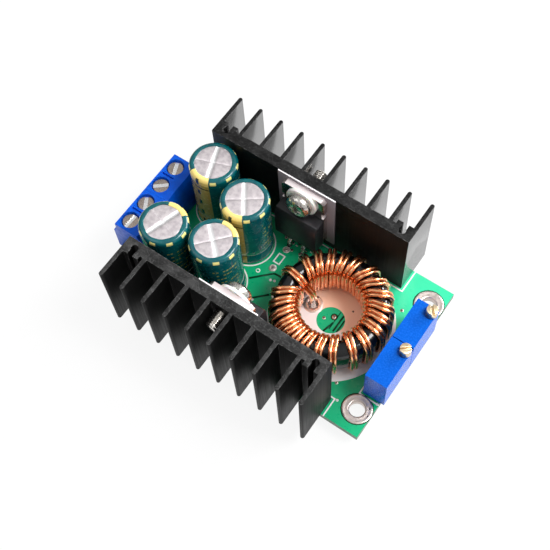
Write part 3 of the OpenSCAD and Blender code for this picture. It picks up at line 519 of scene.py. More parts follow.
# %% [markdown]
# ## Enamelled copper
# Winding wire is bright copper under a clear amber enamel. The metal gives the orange
# body and the broad highlights, and a clear coat on top gives the thin white ones. The
# enamel darkens a little in patches along the wire.

# %% Winding wire
tree, sockets = finish("enamelled_copper", look(250, 174, 122), 0.22, 1.0,
                       Coat_Weight=1.0, Coat_Roughness=0.05)
patch = grain(tree, 1.1, 3.0)
paint(tree, sockets, ramp(tree, patch, 0.4, 0.7), look(254, 180, 126), look(238, 146, 94))
gloss(tree, sockets, patch, 0.18, 0.28)
relief(tree, sockets, grain(tree, 0.7, 1.0), 0.012)

# %% [markdown]
# ## The capacitors' printed sleeves
# A sleeve is a film tube, printed flat, that shrinks over the can and curls over its rim.
# The print follows the film, so the pattern is drawn in the sleeve's own coordinates: one
# goes once round it and the other runs from its foot to the inner edge of its lip. A pale
# stripe with dark dashes marks the negative side.

# %% Sleeve film
STRIPE_HALF = 0.08
tree, sockets = finish("capacitor_sleeve", look(0, 84, 90), 0.22,
                       Specular_IOR_Level=0.25, Coat_Weight=0.6, Coat_Roughness=0.04)
film_uv = from_uv(tree, "film")
round_it, up_it = film_uv["X"], film_uv["Y"]
stripe = band(tree, round_it, 0.5, STRIPE_HALF, 0.002)
dash = times(tree, band(tree, round_it, 0.5, 0.011, 0.002),
            band(tree, beat(tree, up_it, 5.0), 0.5, 0.2, 0.02))

# %% [markdown]
# Plain dashes stand for the print. Rows and columns cross two blocks of the film's side,
# and a random value for each cell leaves some dashes out. The lip has longer dashes of its
# own. The print and the stripe are painted paler on the lip, a painted highlight, and darker on the side, a
# painted shade.

# %% Dashes and colours of the film
LIP_START = 0.86
LIP_DASHES = 9.0
PRINT_COLUMNS = 46.0
PRINT_ROWS = 13.0
on_lip = ramp(tree, up_it, LIP_START, LIP_START + 0.01)
lip_dash = times(tree, band(tree, beat(tree, round_it, LIP_DASHES), 0.5, 0.17, 0.02),
                band(tree, up_it, 0.92, 0.02, 0.003))
cell = add(tree, "CombineXYZ", {
    "X": calc(tree, "FLOOR", times(tree, round_it, PRINT_COLUMNS)),
    "Y": calc(tree, "FLOOR", times(tree, up_it, PRINT_ROWS))}).outputs[0]
chance = add(tree, "TexWhiteNoise", {"Vector": cell}, noise_dimensions="3D").outputs["Value"]
rows = band(tree, beat(tree, up_it, PRINT_ROWS), 0.5, 0.13, 0.03)
gaps = band(tree, beat(tree, round_it, PRINT_COLUMNS), 0.5, 0.34, 0.04)
blocks = [band(tree, round_it, centre, 0.09, 0.002) for centre in (0.22, 0.80)]
side_only = times(tree, calc(tree, "MAXIMUM", *blocks), band(tree, up_it, 0.5, 0.26, 0.01))
inked = calc(tree, "GREATER_THAN", chance, 0.35)
side_dash = times(tree, times(tree, rows, gaps), times(tree, side_only, inked))
print_mask = calc(tree, "MAXIMUM", times(tree, side_dash, 0.8), lip_dash)
film = mixed(tree, ramp(tree, grain(tree, 2.0), 0.35, 0.65), look(0, 78, 86), look(0, 92, 96))
# Painted light and shade: the print and the stripe are paler on the lip and darker on the side.
print_ink_lit_and_shaded = mixed(tree, on_lip, look(170, 164, 80), look(240, 228, 144))
rules = [band(tree, up_it, height, 0.008, 0.003) for height in (0.80, 0.17)]
rules = calc(tree, "MAXIMUM", *rules)
stripe_ink_lit_and_shaded = mixed(tree, on_lip, look(176, 158, 88), look(242, 216, 128))
pale = mixed(tree, calc(tree, "MAXIMUM", dash, rules), stripe_ink_lit_and_shaded, look(34, 52, 44))
paint(tree, sockets, stripe, mixed(tree, print_mask, film, print_ink_lit_and_shaded), pale)
gloss(tree, sockets, grain(tree, 0.8), 0.16, 0.3)
relief(tree, sockets, effect(tree, streak_group, Per_Millimetre=(1.4, 1.4, 0.25)), 0.03)
print("finishes:", sorted(finishes))

# %% [markdown]
# ## Making pieces
# Every new piece needs the same few steps: a mesh, a finish, a body to ride on, and
# hiding the node that it stands for. One helper does them and prints what it made.

# %% A piece from a mesh
def placed(name, data):
    """A new object in the scene."""
    thing = bpy.data.objects.new(name, data)
    bpy.context.scene.collection.objects.link(thing)
    return thing


def keep(name, bm, slot, body="module", stands_for=(), skin=None):
    """Turns a bmesh into a piece that rides on a body; skin is a finish other than the slot's own."""
    mesh = bpy.data.meshes.new(name)
    bmesh.ops.recalc_face_normals(bm, faces=bm.faces)
    bm.to_mesh(mesh)
    bm.free()
    mesh.materials.append(finishes[skin or slot])
    mesh.shade_smooth()
    piece = placed(name, mesh)
    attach(piece, body)
    if stands_for:
        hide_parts(*stands_for)
    print(f"{name}: {len(mesh.polygons)} faces")
    return piece


# %% [markdown]
# ## Rounding the edges of the solids
# A solid from CAD has knife edges, and no moulded or sawn part does: the thin highlight
# along an edge is what makes it look real. A copy of the solid's mesh, with its flat faces
# joined up again and a bevel on its edges, replaces the node and keeps its size. Widths
# are in millimetres, and are small where walls are thin, so that no bevel folds over.

# %% Softened copies
def round_edges(piece, width, hardened=True):
    """Rounds a piece's edges by width millimetres."""
    edges = piece.modifiers.new("rounded edges", "BEVEL")
    edges.width = width * MM
    edges.segments = 2
    edges.limit_method = "ANGLE"
    edges.angle_limit = math.radians(35)
    edges.use_clamp_overlap = False
    edges.harden_normals = hardened


def softened(node, width, name=None, cut=None, skin=None, flat=False):
    """A copy of a node with rounded edges; cut = (point, direction) drops one side."""
    bm = bmesh.new()
    bm.from_mesh(frame["nodes"][node].data)
    bmesh.ops.remove_doubles(bm, verts=bm.verts, dist=0.0005 * MM)
    bmesh.ops.dissolve_limit(bm, angle_limit=math.radians(0.5), verts=bm.verts, edges=bm.edges)
    if cut:
        bmesh.ops.bisect_plane(bm, geom=bm.verts[:] + bm.edges[:] + bm.faces[:],
                               plane_co=cut[0], plane_no=cut[1], clear_outer=True)
    piece = keep(name or node + "_finished", bm, slot_of[node], body_of[node], [node], skin)
    if flat:
        piece.data.shade_flat()
    round_edges(piece, width, not flat)


EDGES = {
    "terminal_housing_input": 0.06, "terminal_housing_output": 0.06, "terminal_contacts": 0.02,
    "heatsink_near": 0.07, "heatsink_far": 0.07, "heatsink_pins": 0.12,
    "diode_body": 0.12, "diode_tab": 0.06, "diode_leads": 0.05,
    "regulator_body": 0.12, "regulator_tab": 0.06, "regulator_leads": 0.05,
    "thermal_pad_near": 0.05, "thermal_pad_far": 0.05,
    "insulating_bush_near": 0.12, "insulating_bush_far": 0.12,
    "trimmer_body_1": 0.03, "trimmer_body_2": 0.03, "trimmer_screw_1": 0.08, "trimmer_screw_2": 0.08,
    "trimmer_pins": 0.05, "shunt_resistors": 0.06, "amplifier_chip": 0.04, "voltage_reference": 0.06,
    "chip_resistors": 0.04, "chip_capacitors": 0.06,
}
for i in range(1, 5):
    EDGES[f"terminal_cage_{i}"] = 0.04
SKINS = {"heatsink_far": "black_anodised_far_shaded"}
for node, width in EDGES.items():
    # A trimmer's recess breaks out through two faces, and smooth shading would streak there.
    softened(node, width, skin=SKINS.get(node), flat=node.startswith("trimmer_body"))

# %% [markdown]
# ## Turned shapes
# Cans, sleeves, rings and solder are round, so one profile spun about an axis makes them.
# The helper also writes the coordinates that the sleeve's print needs, and takes a
# function that nudges points, because nothing shrunk or soldered is perfectly round.

# %% Spinning a profile
def spin(bm, profile, at, segments=64, turned=0.0, nudge=None):
    """Spins (radius, height) points in millimetres about a vertical axis at a place in metres."""
    film = bm.loops.layers.uv.get("film") or bm.loops.layers.uv.new("film")
    lengths = [0.0]
    for (r0, z0), (r1, z1) in zip(profile, profile[1:]):
        lengths.append(lengths[-1] + math.hypot(r1 - r0, z1 - z0))
    rings = []
    for j in range(segments):
        angle = 2 * math.pi * j / segments
        ring = []
        for k, (r, z) in enumerate(profile):
            if nudge:
                r, z = nudge(angle, k, r, z)
            spot = Vector((r * math.cos(angle + turned), r * math.sin(angle + turned), z)) * MM
            ring.append(bm.verts.new(at + spot))
        rings.append(ring)
    for j in range(segments):
        for k in range(len(profile) - 1):
            here, there = rings[j], rings[(j + 1) % segments]
            face = bm.faces.new((here[k], there[k], there[k + 1], here[k + 1]))
            for loop, (a, b) in zip(face.loops, ((j, k), (j + 1, k), (j + 1, k + 1), (j, k + 1))):
                loop[film].uv = (a / segments, lengths[b] / lengths[-1])
    return bm


def arc(centre, radius, start, end, steps=6):
    """Points (radius, height) along an arc, with angles in degrees."""
    return [(centre[0] + radius * math.cos(math.radians(start + (end - start) * i / steps)),
             centre[1] + radius * math.sin(math.radians(start + (end - start) * i / steps)))
            for i in range(steps + 1)]


# %% [markdown]
# ## Capacitors
# A can's top is stamped with a cross so that it can open safely. The scores are shallow
# valleys, and the four quarters between them stand a little proud and catch the light
# differently. The top is a grid whose lines crowd together at the scores.

# %% A pressed top
def both_ways(lines):
    """Grid lines from 0 outwards, and the same on the other side."""
    return [-v for v in lines[:0:-1]] + lines


SCORE_GRID = both_ways([0, 0.05, 0.1, 0.16, 0.24, 0.34, 0.5, 0.8, 1.2, 1.8, 2.5, 3.2, 3.9, 4.3])


def pressed_top(bm, at, radius, turned, lines, shape):
    """A round top on a grid of lines; shape gives a point's height in millimetres and its share of painted
    highlight.
    """
    score = bm.loops.layers.uv.new("score")
    turn = Matrix.Rotation(math.radians(turned), 3, "Z")
    rows, painted_highlight = [], {}
    for v in lines:
        row = []
        for u in lines:
            far = max(math.hypot(u, v) / radius, 1.0)
            height, bright = shape(u / far, v / far, far > 1)
            row.append(bm.verts.new(at + turn @ Vector((u / far, v / far, height)) * MM))
            painted_highlight[row[-1]] = bright
        rows.append(row)
    for j in range(len(lines) - 1):
        for i in range(len(lines) - 1):
            face = bm.faces.new([rows[j][i], rows[j][i + 1], rows[j + 1][i + 1], rows[j + 1][i]])
            # The score layer carries each point's share of painted highlight to the finish.
            for loop in face.loops:
                loop[score].uv = (painted_highlight[loop.vert], 0)


def scored(u, v, at_edge):
    """A wide and a narrow score across a can's top, with proud quarters between them, and each point's share
    of painted highlight.
    """
    wide = math.exp(-(u / 0.42) ** 4)
    thin = math.exp(-(v / 0.15) ** 2)
    pillow = 0.09 * math.prod(math.sin(min(abs(w), 2) * math.pi / 2.6) for w in (u, v))
    tilt = 0.02 * (u * v > 0) * min(abs(u * v), 1)
    return (0, 1) if at_edge else (pillow + tilt - 0.12 * wide - 0.06 * thin, max(wide, 0.15 * thin))


# %% [markdown]
# The wall is a spun profile with a bead rolled in above the seal and a round upper edge.
# The top sits a little below that edge, and each can is turned its own way.

# %% Cans
SCORE_TURN = [20, 35, -18, 48]
TOP_SINK = 0.06
RIM_R = 0.7
BEAD_Z = 2.8


def can(i):
    """One can: its scored top and, under the sleeve, its wall and bead."""
    node = f"capacitor_can_{i + 1}"
    low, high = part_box(node)
    axis, r, h = foot_of(low, high), radius_of(low, high), (high.z - low.z) / MM
    up = Vector((0, 0, 1))
    bm = bmesh.new()
    pressed_top(bm, axis + up * (high.z - TOP_SINK * MM), r - RIM_R - 0.08, SCORE_TURN[i], SCORE_GRID, scored)
    wall = [(r - 0.6, 0), (r - 0.1, 0.05), (r, 0.4), (r, BEAD_Z - 0.5), (r - 0.3, BEAD_Z),
            (r, BEAD_Z + 0.5), (r, h - RIM_R)]
    spin(bm, wall + arc((r - RIM_R, h - RIM_R), RIM_R, 0, 90), axis + up * low.z)
    weld(bm)
    keep(f"can_{i + 1}", bm, "can_aluminium", stands_for=[node])


# %% [markdown]
# The sleeve dips into the bead and curls over the rim. Its lip's inner edge wanders a
# little, as shrunk film does: a few slow waves with seeded random sizes do that.

# %% Sleeves
STRIPE_TURN = [265, 270, 82, 72]


def sleeve(i, luck):
    """One shrunk sleeve, from its foot to the wavy edge of its lip."""
    node = f"capacitor_sleeve_{i + 1}"
    low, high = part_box(node)
    r, h = radius_of(low, high), (high.z - low.z) / MM
    side = [(r - 0.5, 0.02), (r - 0.15, 0), (r - 0.02, 0.1), (r, 0.4), (r, 2.2), (r - 0.2, 2.6),
            (r - 0.24, BEAD_Z), (r - 0.2, 3.0)] + [(r, 3.5 + (h - 4.4) * k / 8) for k in range(9)]
    lip = arc((r - 0.84, h - 0.9), 0.84, 10, 90)
    lip += [(r - 1.05, h - 0.05), (r - 1.14, h - 0.07), (r - 1.22, h - 0.1), (r - 1.24, h - 0.2)]
    waves = [(luck.uniform(0.01, 0.04), k, luck.uniform(0, 6.28)) for k in (2, 3, 5, 8)]

    def nudge(angle, k, radius, height):
        sway = sum(size * math.sin(n * angle + start) for size, n, start in waves)
        if k > len(side) + 7:
            return radius + 1.2 * sway, height + 0.25 * sway
        if 8 < k < len(side):
            return radius + min(0.25 * sway, 0), height
        return radius, height

    at = foot_of(low, high) + Vector((0, 0, low.z))
    bm = spin(bmesh.new(), side + lip, at, 96, math.radians(STRIPE_TURN[i]) + math.pi, nudge)
    keep(f"sleeve_{i + 1}", bm, "capacitor_sleeve", stands_for=[node])


luck = random.Random(7)
for i in range(4):
    can(i)
    sleeve(i, luck)

# %% [markdown]
# ## Heads of the clamp screws
# The slot of a clamp screw is wide, and its floor is painted white as a highlight, brighter
# than the head. The same grid makes it: the lines crowd at the slot's two sides. Each slot points
# its own way, and one is shallow. The shank below keeps the solid's shape, and both parts
# turn with the screw's body.

# %% Slotted heads
SLOT_TURN = [87, 120, 40, 111]
SLOT_DEPTH = [0.3, 0.3, 0.07, 0.3]
SLOT_HALF = 0.4
HEAD_H = 0.85


def slotted_head(i):
    """One clamp screw: its head with a slot along its own direction, and its shank."""
    node = f"terminal_screw_{i + 1}"
    low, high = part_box(node)
    r = radius_of(low, high)
    lines = both_ways([0, 0.2, SLOT_HALF - 0.03, SLOT_HALF + 0.03, 0.65, 0.8 * r, r])

    def shape(u, v, at_edge):
        return (-SLOT_DEPTH[i], 1) if abs(v) < SLOT_HALF else (-0.05 * (u * u + v * v) / r ** 2, 0)

    bm = bmesh.new()
    top = foot_of(low, high) + Vector((0, 0, high.z))
    under_head = top - Vector((0, 0, HEAD_H * MM))
    pressed_top(bm, top, r, SLOT_TURN[i], lines, shape)
    rim = bmesh.ops.extrude_edge_only(bm, edges=[e for e in bm.edges if e.is_boundary])
    for vert in rim["geom"]:
        if isinstance(vert, bmesh.types.BMVert):
            vert.co.z = under_head.z
    weld(bm)
    name = f"clamp_screw_head_{i + 1}"
    piece = keep(name, bm, "plated_steel", body_of[node], [node], "clamp_screw_steel")
    round_edges(piece, 0.03)
    softened(node, 0.06, name=f"clamp_screw_shank_{i + 1}", cut=(under_head, Vector((0, 0, 1))))


for i in range(4):
    slotted_head(i)

# %% [markdown]
# ## The winding
# Two enamelled wires are wound side by side by hand. Each turn climbs inside the ring,
# crosses the top, drops down the outside and runs back underneath to the next turn. The
# runs of turns have their own pitch, as on the real coil. Lengths are in millimetres and
# angles in degrees.

# %% Places of the turns
WIRE_R = 0.44
CLEAR = 0.02
CORE_IN = 7.7  # radius of the core's hole
CORE_ROUND = 1.9  # radius of its round edges
# First angle inside and outside, pitch inside and outside, and number of turns.
RUNS = [(176, 173.7, 0, 0, 1), (157.3, 152.6, 14.6, 15.2, 5), (83.6, 73.7, 15.8, 15.8, 4),
        (20.5, 12.9, 17, 13.6, 2), (-14, -19.1, 17.4, 15.5, 2), (-49.4, -55.3, 16, 14.9, 3),
        (-96.9, -98, 13.5, 10.9, 3), (-139.5, -132.1, 15, 13.5, 3)]
core_out = radius_of(coil_low, coil_high)
under, over = coil_low.z / MM - CLEAR - WIRE_R, coil_high.z / MM + CLEAR + WIRE_R
outside, inside = core_out + CLEAR + WIRE_R, CORE_IN - CLEAR - WIRE_R
bend = (2 - math.sqrt(2)) * (CORE_ROUND + CLEAR + WIRE_R)
turn_in = [run[0] - k * run[2] for run in RUNS for k in range(run[4])]
turn_out = [run[1] - k * run[3] for run in RUNS for k in range(run[4])]
print("turns of the pair:", len(turn_in))


# %% [markdown]
# A turn is a short list of corner points, and a small random part makes the lay of the
# wires uneven. The first and last turns end in leads that go down through the board.

# %% Corners of one strand
WIRE_STEP = 0.12  # how much further in the second strand lies
SLACK = 0.5  # how far the inner legs stand off the core
LEAD_IN = 2.11  # how far the first leads stand inside the winding
LEAD_ANGLE = 168.5
TAIL_ANGLE = 196.3


def around(angle, out, aside, up):
    """A point by its angle round the coil, distance out, sideways step and height, in millimetres."""
    a = math.radians(angle)
    return Vector((out * math.cos(a) - aside * math.sin(a), out * math.sin(a) + aside * math.cos(a), up))


def strand_path(s, luck):
    """Corner points of strand s (1 or -1) from its first lead to its last."""
    inner = inside - SLACK - (WIRE_STEP if s < 0 else 0)
    half, half_in = WIRE_R + CLEAR, WIRE_R
    foot = board_low / MM - 1.3
    points = [around(LEAD_ANGLE, inside - LEAD_IN, s * half, foot),
              around(LEAD_ANGLE, inside - LEAD_IN, s * half, (over + board_top / MM) / 2),
              around(turn_in[0], inner, s * half_in, over - bend)]
    for k, (at_in, at_out) in enumerate(zip(turn_in, turn_out)):
        last = k == len(turn_in) - 1
        lay = luck.uniform(-0.35, 0.35)
        slack = luck.uniform(0.0, 0.14)
        aside = s * (half + luck.uniform(0, 0.1))
        if k:
            points += [around(at_in + lay, inner, s * half_in, under + bend),
                       around(at_in + lay, inner, s * half_in, over - bend)]
        points += [around(at_in + 0.45 * (at_out - at_in) + lay, inner + bend, s * half_in, over),
                   around(at_out - lay, outside - bend, aside, over),
                   around(at_out - lay, outside + slack / 3, aside, over - bend)]
        if last:
            points += [around(TAIL_ANGLE, outside, s * half, (under + over) / 2),
                       around(TAIL_ANGLE, outside, s * half, foot)]
        else:
            points += [around(at_out - lay, outside + slack, aside, (under + over) / 2),
                       around(at_out - lay, outside + slack / 3, aside, under + bend),
                       around(at_out - lay, outside - bend, aside, under),
                       around(turn_in[k + 1], inner + bend, s * half_in, under)]
    return points


# %% [markdown]
# Thick wire can't fold sharply. Each corner is eased into a short curve, which also takes
# the wire over the ring's round edges.

# %% Easing the corners
def eased(points, reach, steps=5):
    """The path with each inner corner replaced by a short curve."""
    path = [points[0]]
    for before, corner, after in zip(points, points[1:], points[2:]):
        a, b = before - corner, after - corner
        start = corner + a * min(reach / a.length, 0.5)
        end = corner + b * min(reach / b.length, 0.5)
        for k in range(steps + 1):
            t = k / steps
            path.append(start * (1 - t) ** 2 + corner * 2 * t * (1 - t) + end * t * t)
    return path + [points[-1]]


# %% [markdown]
# A tube is a row of rings, each square to the path, joined to the next by faces. Each
# ring keeps the last one's sense of sideways, so that the tube never twists. The corners
# of the path are close together after easing, and points that nearly meet are dropped.

# %% Sweeping the wire
def join_rings(bm, rings):
    """Faces between each ring of points and the next, and a cap on the last."""
    sides = len(rings[0])
    for here, there in zip(rings, rings[1:]):
        for k in range(sides):
            bm.faces.new((here[k], here[(k + 1) % sides], there[(k + 1) % sides], there[k]))
    bm.faces.new(rings[-1])


def tube(bm, path, radius, sides=12):
    """A round tube along a path in millimetres, closed at both ends."""
    clean = [path[0]]
    for p in path[1:]:
        if (p - clean[-1]).length > 0.02:
            clean.append(p)
    ahead = [(b - a).normalized() for a, b in zip(clean[:1] + clean, clean[1:] + clean[-1:])]
    side = ahead[0].orthogonal().normalized()
    rings = []
    for p, d in zip(clean, ahead):
        side = (side - d * side.dot(d)).normalized()
        other = d.cross(side)
        rings.append([bm.verts.new(p + radius * (math.cos(t) * side + math.sin(t) * other))
                      for t in (2 * math.pi * k / sides for k in range(sides))])
    bm.faces.new(rings[0][::-1])
    join_rings(bm, rings)


# %% [markdown]
# Both strands draw from one seeded generator, one after the other, so each has its own
# lay and every run gives the same coil.

# %% Both strands
luck = random.Random(24)
for s, name in ((1, "winding_strand_a"), (-1, "winding_strand_b")):
    bm = bmesh.new()
    tube(bm, eased(strand_path(s, luck), 0.98), WIRE_R)
    bmesh.ops.scale(bm, vec=(MM,) * 3, verts=bm.verts)
    bmesh.ops.translate(bm, vec=coil_axis, verts=bm.verts)
    keep(name, bm, "enamelled_copper", stands_for=["inductor_winding"])

# %% [markdown]
# ## The ring core
# The core is pressed powder with a thick black coat, so its edges are full and its
# surface has slow waves. A spun section with round corners, closed on itself, makes it.

# %% Coated ring
def ring_core():
    """The coated ring, slightly wavy."""
    r, h = CORE_ROUND, (coil_high.z - coil_low.z) / MM
    section = (arc((core_out - r, h - r), r, 90, 0) + arc((core_out - r, r), r, 0, -90)
               + arc((CORE_IN + r, r), r, -90, -180) + arc((CORE_IN + r, h - r), r, 180, 90))
    section.append(section[0])
    bm = spin(bmesh.new(), section, Vector((coil_at.x, coil_at.y, coil_low.z)), 128)
    weld(bm)
    keep("ring_core", bm, "core_coating", stands_for=["inductor_core"])


ring_core()

# %% [markdown]
# ## Rings, pads and solder
# The mounting holes are plated through, and hot tin stands in low rounded rings on them.
# The coil's pad is a ring round its leads. Under the board each lead sits in a cone of
# solder with hollow sides, because solder wets both the pad and the lead.

# %% Plated mounting holes
MOUNT_HOLE_R = 1.6


def plated_holes():
    """Both plated holes as one piece: rings on each face, joined by the barrel."""
    bm = bmesh.new()
    low, high = board_low / MM, board_top / MM
    for box_low, box_high in solids_in("mount_hole_rings"):
        out, hole = radius_of(box_low, box_high), MOUNT_HOLE_R
        top = [(out, 0), (out - 0.05, 0.05), (out - 0.35, 0.08), (out - 0.5, 0.05), (hole + 0.55, 0.05),
               (hole + 0.35, 0.08), (hole + 0.08, 0.05), (hole, -0.05)]
        top = [(r, high + z) for r, z in top]
        bottom = [(r, low - (z - high)) for r, z in reversed(top)]
        spin(bm, top + bottom + [top[0]], foot_of(box_low, box_high), 96)
    weld(bm)
    keep("plated_holes", bm, "tinned_copper", stands_for=["mount_hole_rings"])


plated_holes()

# %% [markdown]
# Tin stands a little proud on each pad and dips at the hole. The pad inside the coil is
# bigger, with a wide collar, because two thick wires are soldered there.

# %% Pads and solder
INNER_PAD = (2.25, 0.95)  # outer radius, hole radius


def pads():
    """Ring pads on the parts side, with a soft rim of tin."""
    bm = bmesh.new()
    top = board_top / MM
    for low, high in solids_in("solder_pads"):
        at, out = foot_of(low, high), radius_of(low, high)
        hole = out - 0.72 if out > 1 else 0.35
        if (at - coil_axis).length < CORE_IN * MM:
            out, hole = INNER_PAD
        spin(bm, [(out, top), (out - 0.08, top + 0.05), (hole + 0.2, top + 0.14),
                  (hole, top + 0.02), (hole, top - 0.5)], at, 48)
    keep("ring_pads", bm, "tinned_copper", stands_for=["solder_pads"])


def solder_cones():
    """A hollow-sided cone of solder on every lead under the board."""
    bm = bmesh.new()
    for low, high in solids_in("solder_joints"):
        out, h = radius_of(low, high), (high.z - low.z) / MM
        neck, top = out - 0.36, high.z / MM
        steps = [(neck + (out - neck) * (1 - k / 7) ** 2.2, top - h * k / 7) for k in range(8)]
        spin(bm, [(out, top + 0.02)] + steps + [(neck - 0.3, top - h - 0.02)], foot_of(low, high), 24)
    keep("solder_cones", bm, "solder", stands_for=["solder_joints"])


pads()
solder_cones()

# %% [markdown]
# ## Small marks on the board
# A bare board looks wrong. Two gaps between copper areas show as dark lines, the middle
# of the inductor shows tracks and vias, and a few holes and short printed dashes lie
# between the parts. They are thin shapes that lie on the mask.

# %% Bars and rings on the board
def strip(bm, start, end, width, height=0.012):
    """A flat bar on the board between two places in millimetres from the coil."""
    a, b = Vector((*start, 0)), Vector((*end, 0))
    across = (b - a).normalized().cross(Vector((0, 0, 1))) * width / 2
    low = [coil_at + p * MM for p in (a - across, b - across, b + across, a + across)]
    rise = Vector((0, 0, height * MM))
    lower, upper = [bm.verts.new(p) for p in low], [bm.verts.new(p + rise) for p in low]
    bm.faces.new(upper)
    for k in range(4):
        bm.faces.new((lower[k], lower[(k + 1) % 4], upper[(k + 1) % 4], upper[k]))


def on_board(name, slot, strips=(), rings=(), height=0.012):
    """Strips (start, end, width) and rings (place, outer, inner) as one piece."""
    bm = bmesh.new()
    top = board_top / MM
    for start, end, width in strips:
        strip(bm, start, end, width, height)
    for place, outer, inner in rings:
        at = Vector((coil_at.x + place[0] * MM, coil_at.y + place[1] * MM, 0))
        spin(bm, [(outer, top), (outer, top + height), (max(inner, 0.001), top + height)], at, 24)
    keep(name, bm, slot)


# %% [markdown]
# All places and sizes are in millimetres from the coil's axis. Rings and holes that
# overlap differ a little in height, so that the upper one always shows.

# %% Lines, vias and dashes
BIG_VIA = (0.2, 1.02)
VIAS = [(-1.42, -0.33), (10.9, 9.96), (8.4, -10.6), (-18.5, 10.8), (-16.5, 10.5), (-15.8, 8.9),
        (-13.8, 9.0)]
DOTS = [(16.9, -11.4), (17.4, -13.1), (17.4, -9.9), (10.5, -13.6), (-16.1, -5.2), (-14.7, 0.9),
        (-15.5, 0.6)]
SPARE = [(-16.79, 8.34), (-16.69, 3.23)]
gaps = [((-19.5, -1.52), (-15.67, 2.34), 0.45), ((-15.67, 2.34), (-13.8, 2.4), 0.45),
        ((-16.62, -5.19), (-13.6, -2.1), 0.45)]
tracks = [((0.0, -2.9), (0.72, -0.2), 0.42), ((0.75, -1.8), (0.76, 2.7), 0.2),
          ((1.7, -1.81), (1.74, 2.28), 0.42), ((2.42, -1.57), (2.43, 1.5), 0.36)]
round_gaps = [((14.73, s * 13.5 + 0.6), 3.3, 3.1) for s in (-1, 1)] + [(BIG_VIA, 0.75, 0.5)]
holes = [(v, 0.16, 0) for v in VIAS + [BIG_VIA]] + [((2.76, 4.17), 0.2, 0)]
dots = [(v, 0.3, 0) for v in DOTS] + [((-18.98, 0.98), 0.5, 0.28)]
dashes = [((x, y), (x + 0.6, y), 0.24)
          for x, y in ((-15.8 + 1.15 * k, 10.35 + 0.35 * (k % 2)) for k in range(5))]
on_board("isolation_lines", "isolation_gap", gaps + tracks, round_gaps)
on_board("via_rings", "tinned_copper", rings=[(v, 0.36, 0.16) for v in VIAS] + [(BIG_VIA, 0.5, 0.2)],
         height=0.03)
on_board("via_holes", "via_hole", rings=holes, height=0.07)
on_board("board_dots", "board_ink", rings=dots, height=0.05)
on_board("spare_rings", "board_ink", rings=[(v, 0.8, 0.5) for v in SPARE], height=0.05)
on_board("spare_pads", "tinned_copper", rings=[(v, 0.5, 0.12) for v in SPARE], height=0.04)
on_board("printed_dashes", "board_ink", dashes, height=0.05)

# %% [markdown]
# ## Screws through the heatsinks
# A machine screw holds each package, and its end shows between two fins. The head keeps
# the solid's shape with its cross recess. The hidden part of the shank is cut off, and a
# threaded length with a real helical groove takes its place.

# %% Threads
def threaded(bm, start, direction, length, radius, pitch):
    """A thread as a surface whose radius follows a helix; start is in metres."""
    sides, per_turn = 36, 8
    count = int(length / pitch * per_turn)
    turn = direction.to_track_quat("Z", "Y").to_matrix()
    rings = []
    for j in range(count + 1):
        z = length * j / count
        taper = min(1.0, (length - z) / 0.4 + 0.25)
        ring = []
        for k in range(sides):
            phase = z / pitch - k / sides
            depth = 0.3 * abs(2 * (phase - math.floor(phase)) - 1)
            r = (radius - depth) * (0.8 + 0.2 * taper)
            a = 2 * math.pi * k / sides
            ring.append(bm.verts.new(start + turn @ Vector((r * math.cos(a), r * math.sin(a), z)) * MM))
        rings.append(ring)
    join_rings(bm, rings)
    return bm


THREAD_R = 1.49
THREAD_PITCH = 0.5
for side, toward in (("near", -1), ("far", 1)):
    node, outward = f"tab_screw_{side}", Vector((0, toward, 0))
    low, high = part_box(node)
    wall_low, wall_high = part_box(f"heatsink_{side}")
    face = wall_high.y if toward < 0 else wall_low.y
    start = Vector((middle(node).x, face, middle(node).z))
    end = low.y if toward < 0 else high.y
    softened(node, 0.08, name=f"screw_head_{side}", cut=(start, outward))
    bm = threaded(bmesh.new(), start, outward, abs(end - face) / MM, THREAD_R, THREAD_PITCH)
    keep(f"screw_thread_{side}", bm, "plated_steel", stands_for=[node])

# %% [markdown]
# ## Nodes that stay as they are
# The board, its print, the seals and some leads already have the right shape. They only
# need their finish, which goes into the material slots that they came with.

# %% Finishes on the solids
for node, solid in frame["nodes"].items():
    for slot in solid.material_slots:
        slot.material = finishes[slot_of[node]]
print("finished solids:", len(frame["nodes"]))

# %% [markdown]
# ## Floor, light and background
# The setting is a plain white sweep. Its floor keeps the shadow, and a share of plain
# white is added to it where it is seen by the camera or mirrored, so that it reads white
# without more light on the part. One soft lamp from the right and above models the
# shapes, a weaker one fills from the front, and the sky gives the rest.

# %% Floor
def floor(share):
    """A large white floor under the part."""
    bm = bmesh.new()
    bmesh.ops.create_grid(bm, x_segments=1, y_segments=1, size=3.0)
    mesh = bpy.data.meshes.new("floor")
    bm.to_mesh(mesh)
    bm.free()
    ground = placed("floor", mesh)
    material = bpy.data.materials.new("white_sweep")
    material.use_nodes = True
    tree = material.node_tree
    base = tree.nodes["Principled BSDF"]
    base.inputs["Roughness"].default_value = 0.9
    spots = add(tree, "TexNoise", {"Scale": 40.0}).outputs["Fac"]
    wire(tree, base.inputs["Base Color"], mixed(tree, spots, look(244, 244, 244), look(248, 248, 248)))
    rays = add(tree, "LightPath").outputs
    mirrored = calc(tree, "MAXIMUM", rays["Is Glossy Ray"], rays["Is Transmission Ray"])
    seen = calc(tree, "MAXIMUM", rays["Is Camera Ray"], mirrored)
    glow = add(tree, "Emission", {"Color": (1, 1, 1, 1), "Strength": 1.0})
    part = times(tree, seen, share)
    blend = add(tree, "MixShader", {0: part, 1: base.outputs[0], 2: glow.outputs[0]})
    wire(tree, tree.nodes["Material Output"].inputs["Surface"], blend.outputs[0])
    mesh.materials.append(material)


floor(0.88)

# %% [markdown]
# Lamps are given by the side they shine from, their distance and size in metres, and
# their power in watts. The low, wide one behind draws a thin light line on round edges.
# The sky is brighter on the key's side, and plain white where the camera sees it.

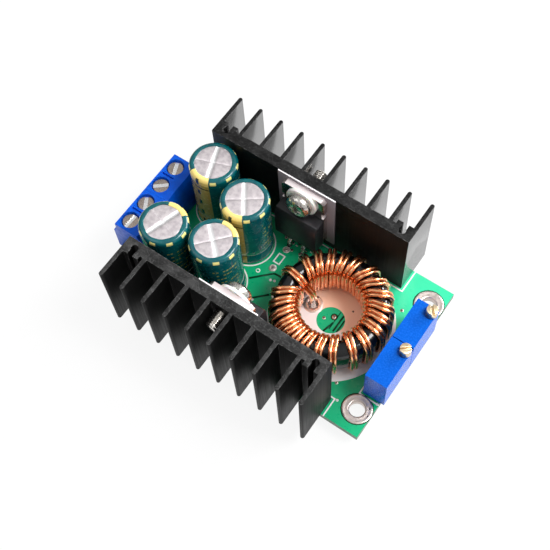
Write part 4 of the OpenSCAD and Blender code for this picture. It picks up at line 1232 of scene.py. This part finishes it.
# %% Lamps and sky
def soft_lamp(name, toward, distance, size, power, height=None):
    """A soft lamp that shines on the part, square unless it has its own height."""
    data = bpy.data.lights.new(name, "AREA")
    data.shape = "RECTANGLE"
    data.size, data.size_y, data.energy = size, height or size, power
    lamp = placed(name, data)
    direction = Vector(toward).normalized()
    lamp.location = direction * distance
    lamp.rotation_mode = "QUATERNION"
    lamp.rotation_quaternion = direction.to_track_quat("Z", "Y")


soft_lamp("key", (0.55, 0.3, 0.95), 0.5, 0.2, 1.9)
soft_lamp("rim", (0.42, 0.86, 0.4), 0.6, 0.34, 3.2, 0.09)
soft_lamp("fill", (-0.5, -0.3, 0.9), 0.6, 0.4, 0.5)

world = bpy.data.worlds.new("sky")
bpy.context.scene.world = world
world.use_nodes = True
tree = world.node_tree
tree.nodes.clear()
direction = add(tree, "TexCoord").outputs["Generated"]
toward = dot(tree, direction, Vector((0.55, 0.3, 0.78)))
sky = add(tree, "Background", {"Color": (1, 1, 1, 1), "Strength": ramp(tree, toward, -0.3, 0.9, 0.22, 0.66)})
plain = add(tree, "Background", {"Color": (1, 1, 1, 1), "Strength": 1.0})
rays = add(tree, "LightPath").outputs
both = add(tree, "MixShader", {0: rays["Is Camera Ray"], 1: sky.outputs[0], 2: plain.outputs[0]})
output = tree.nodes.new("ShaderNodeOutputWorld")
wire(tree, output.inputs["Surface"], both.outputs[0])
print("lamps:", [lamp.name for lamp in bpy.data.lights])

# %% [markdown]
# ## Camera
# The camera stands about 20 cm away, high above the front right corner, and is rolled a
# few degrees. The view transform is Standard, so that colours stay as they are written.

# %% Camera and colour
camera_data = bpy.data.cameras.new("camera")
camera_data.lens = 64.63
camera_data.sensor_width = 36.0
camera_data.clip_start = 0.01
camera = placed("camera", camera_data)
camera.location = Vector((57.15, -68.54, 189.38)) * MM
camera.rotation_euler = [math.radians(a) for a in (26.147, 2.253, 34.935)]
bpy.context.scene.camera = camera
bpy.context.scene.view_settings.view_transform = "Standard"
print("camera is", round(camera.location.length, 3), "m away")
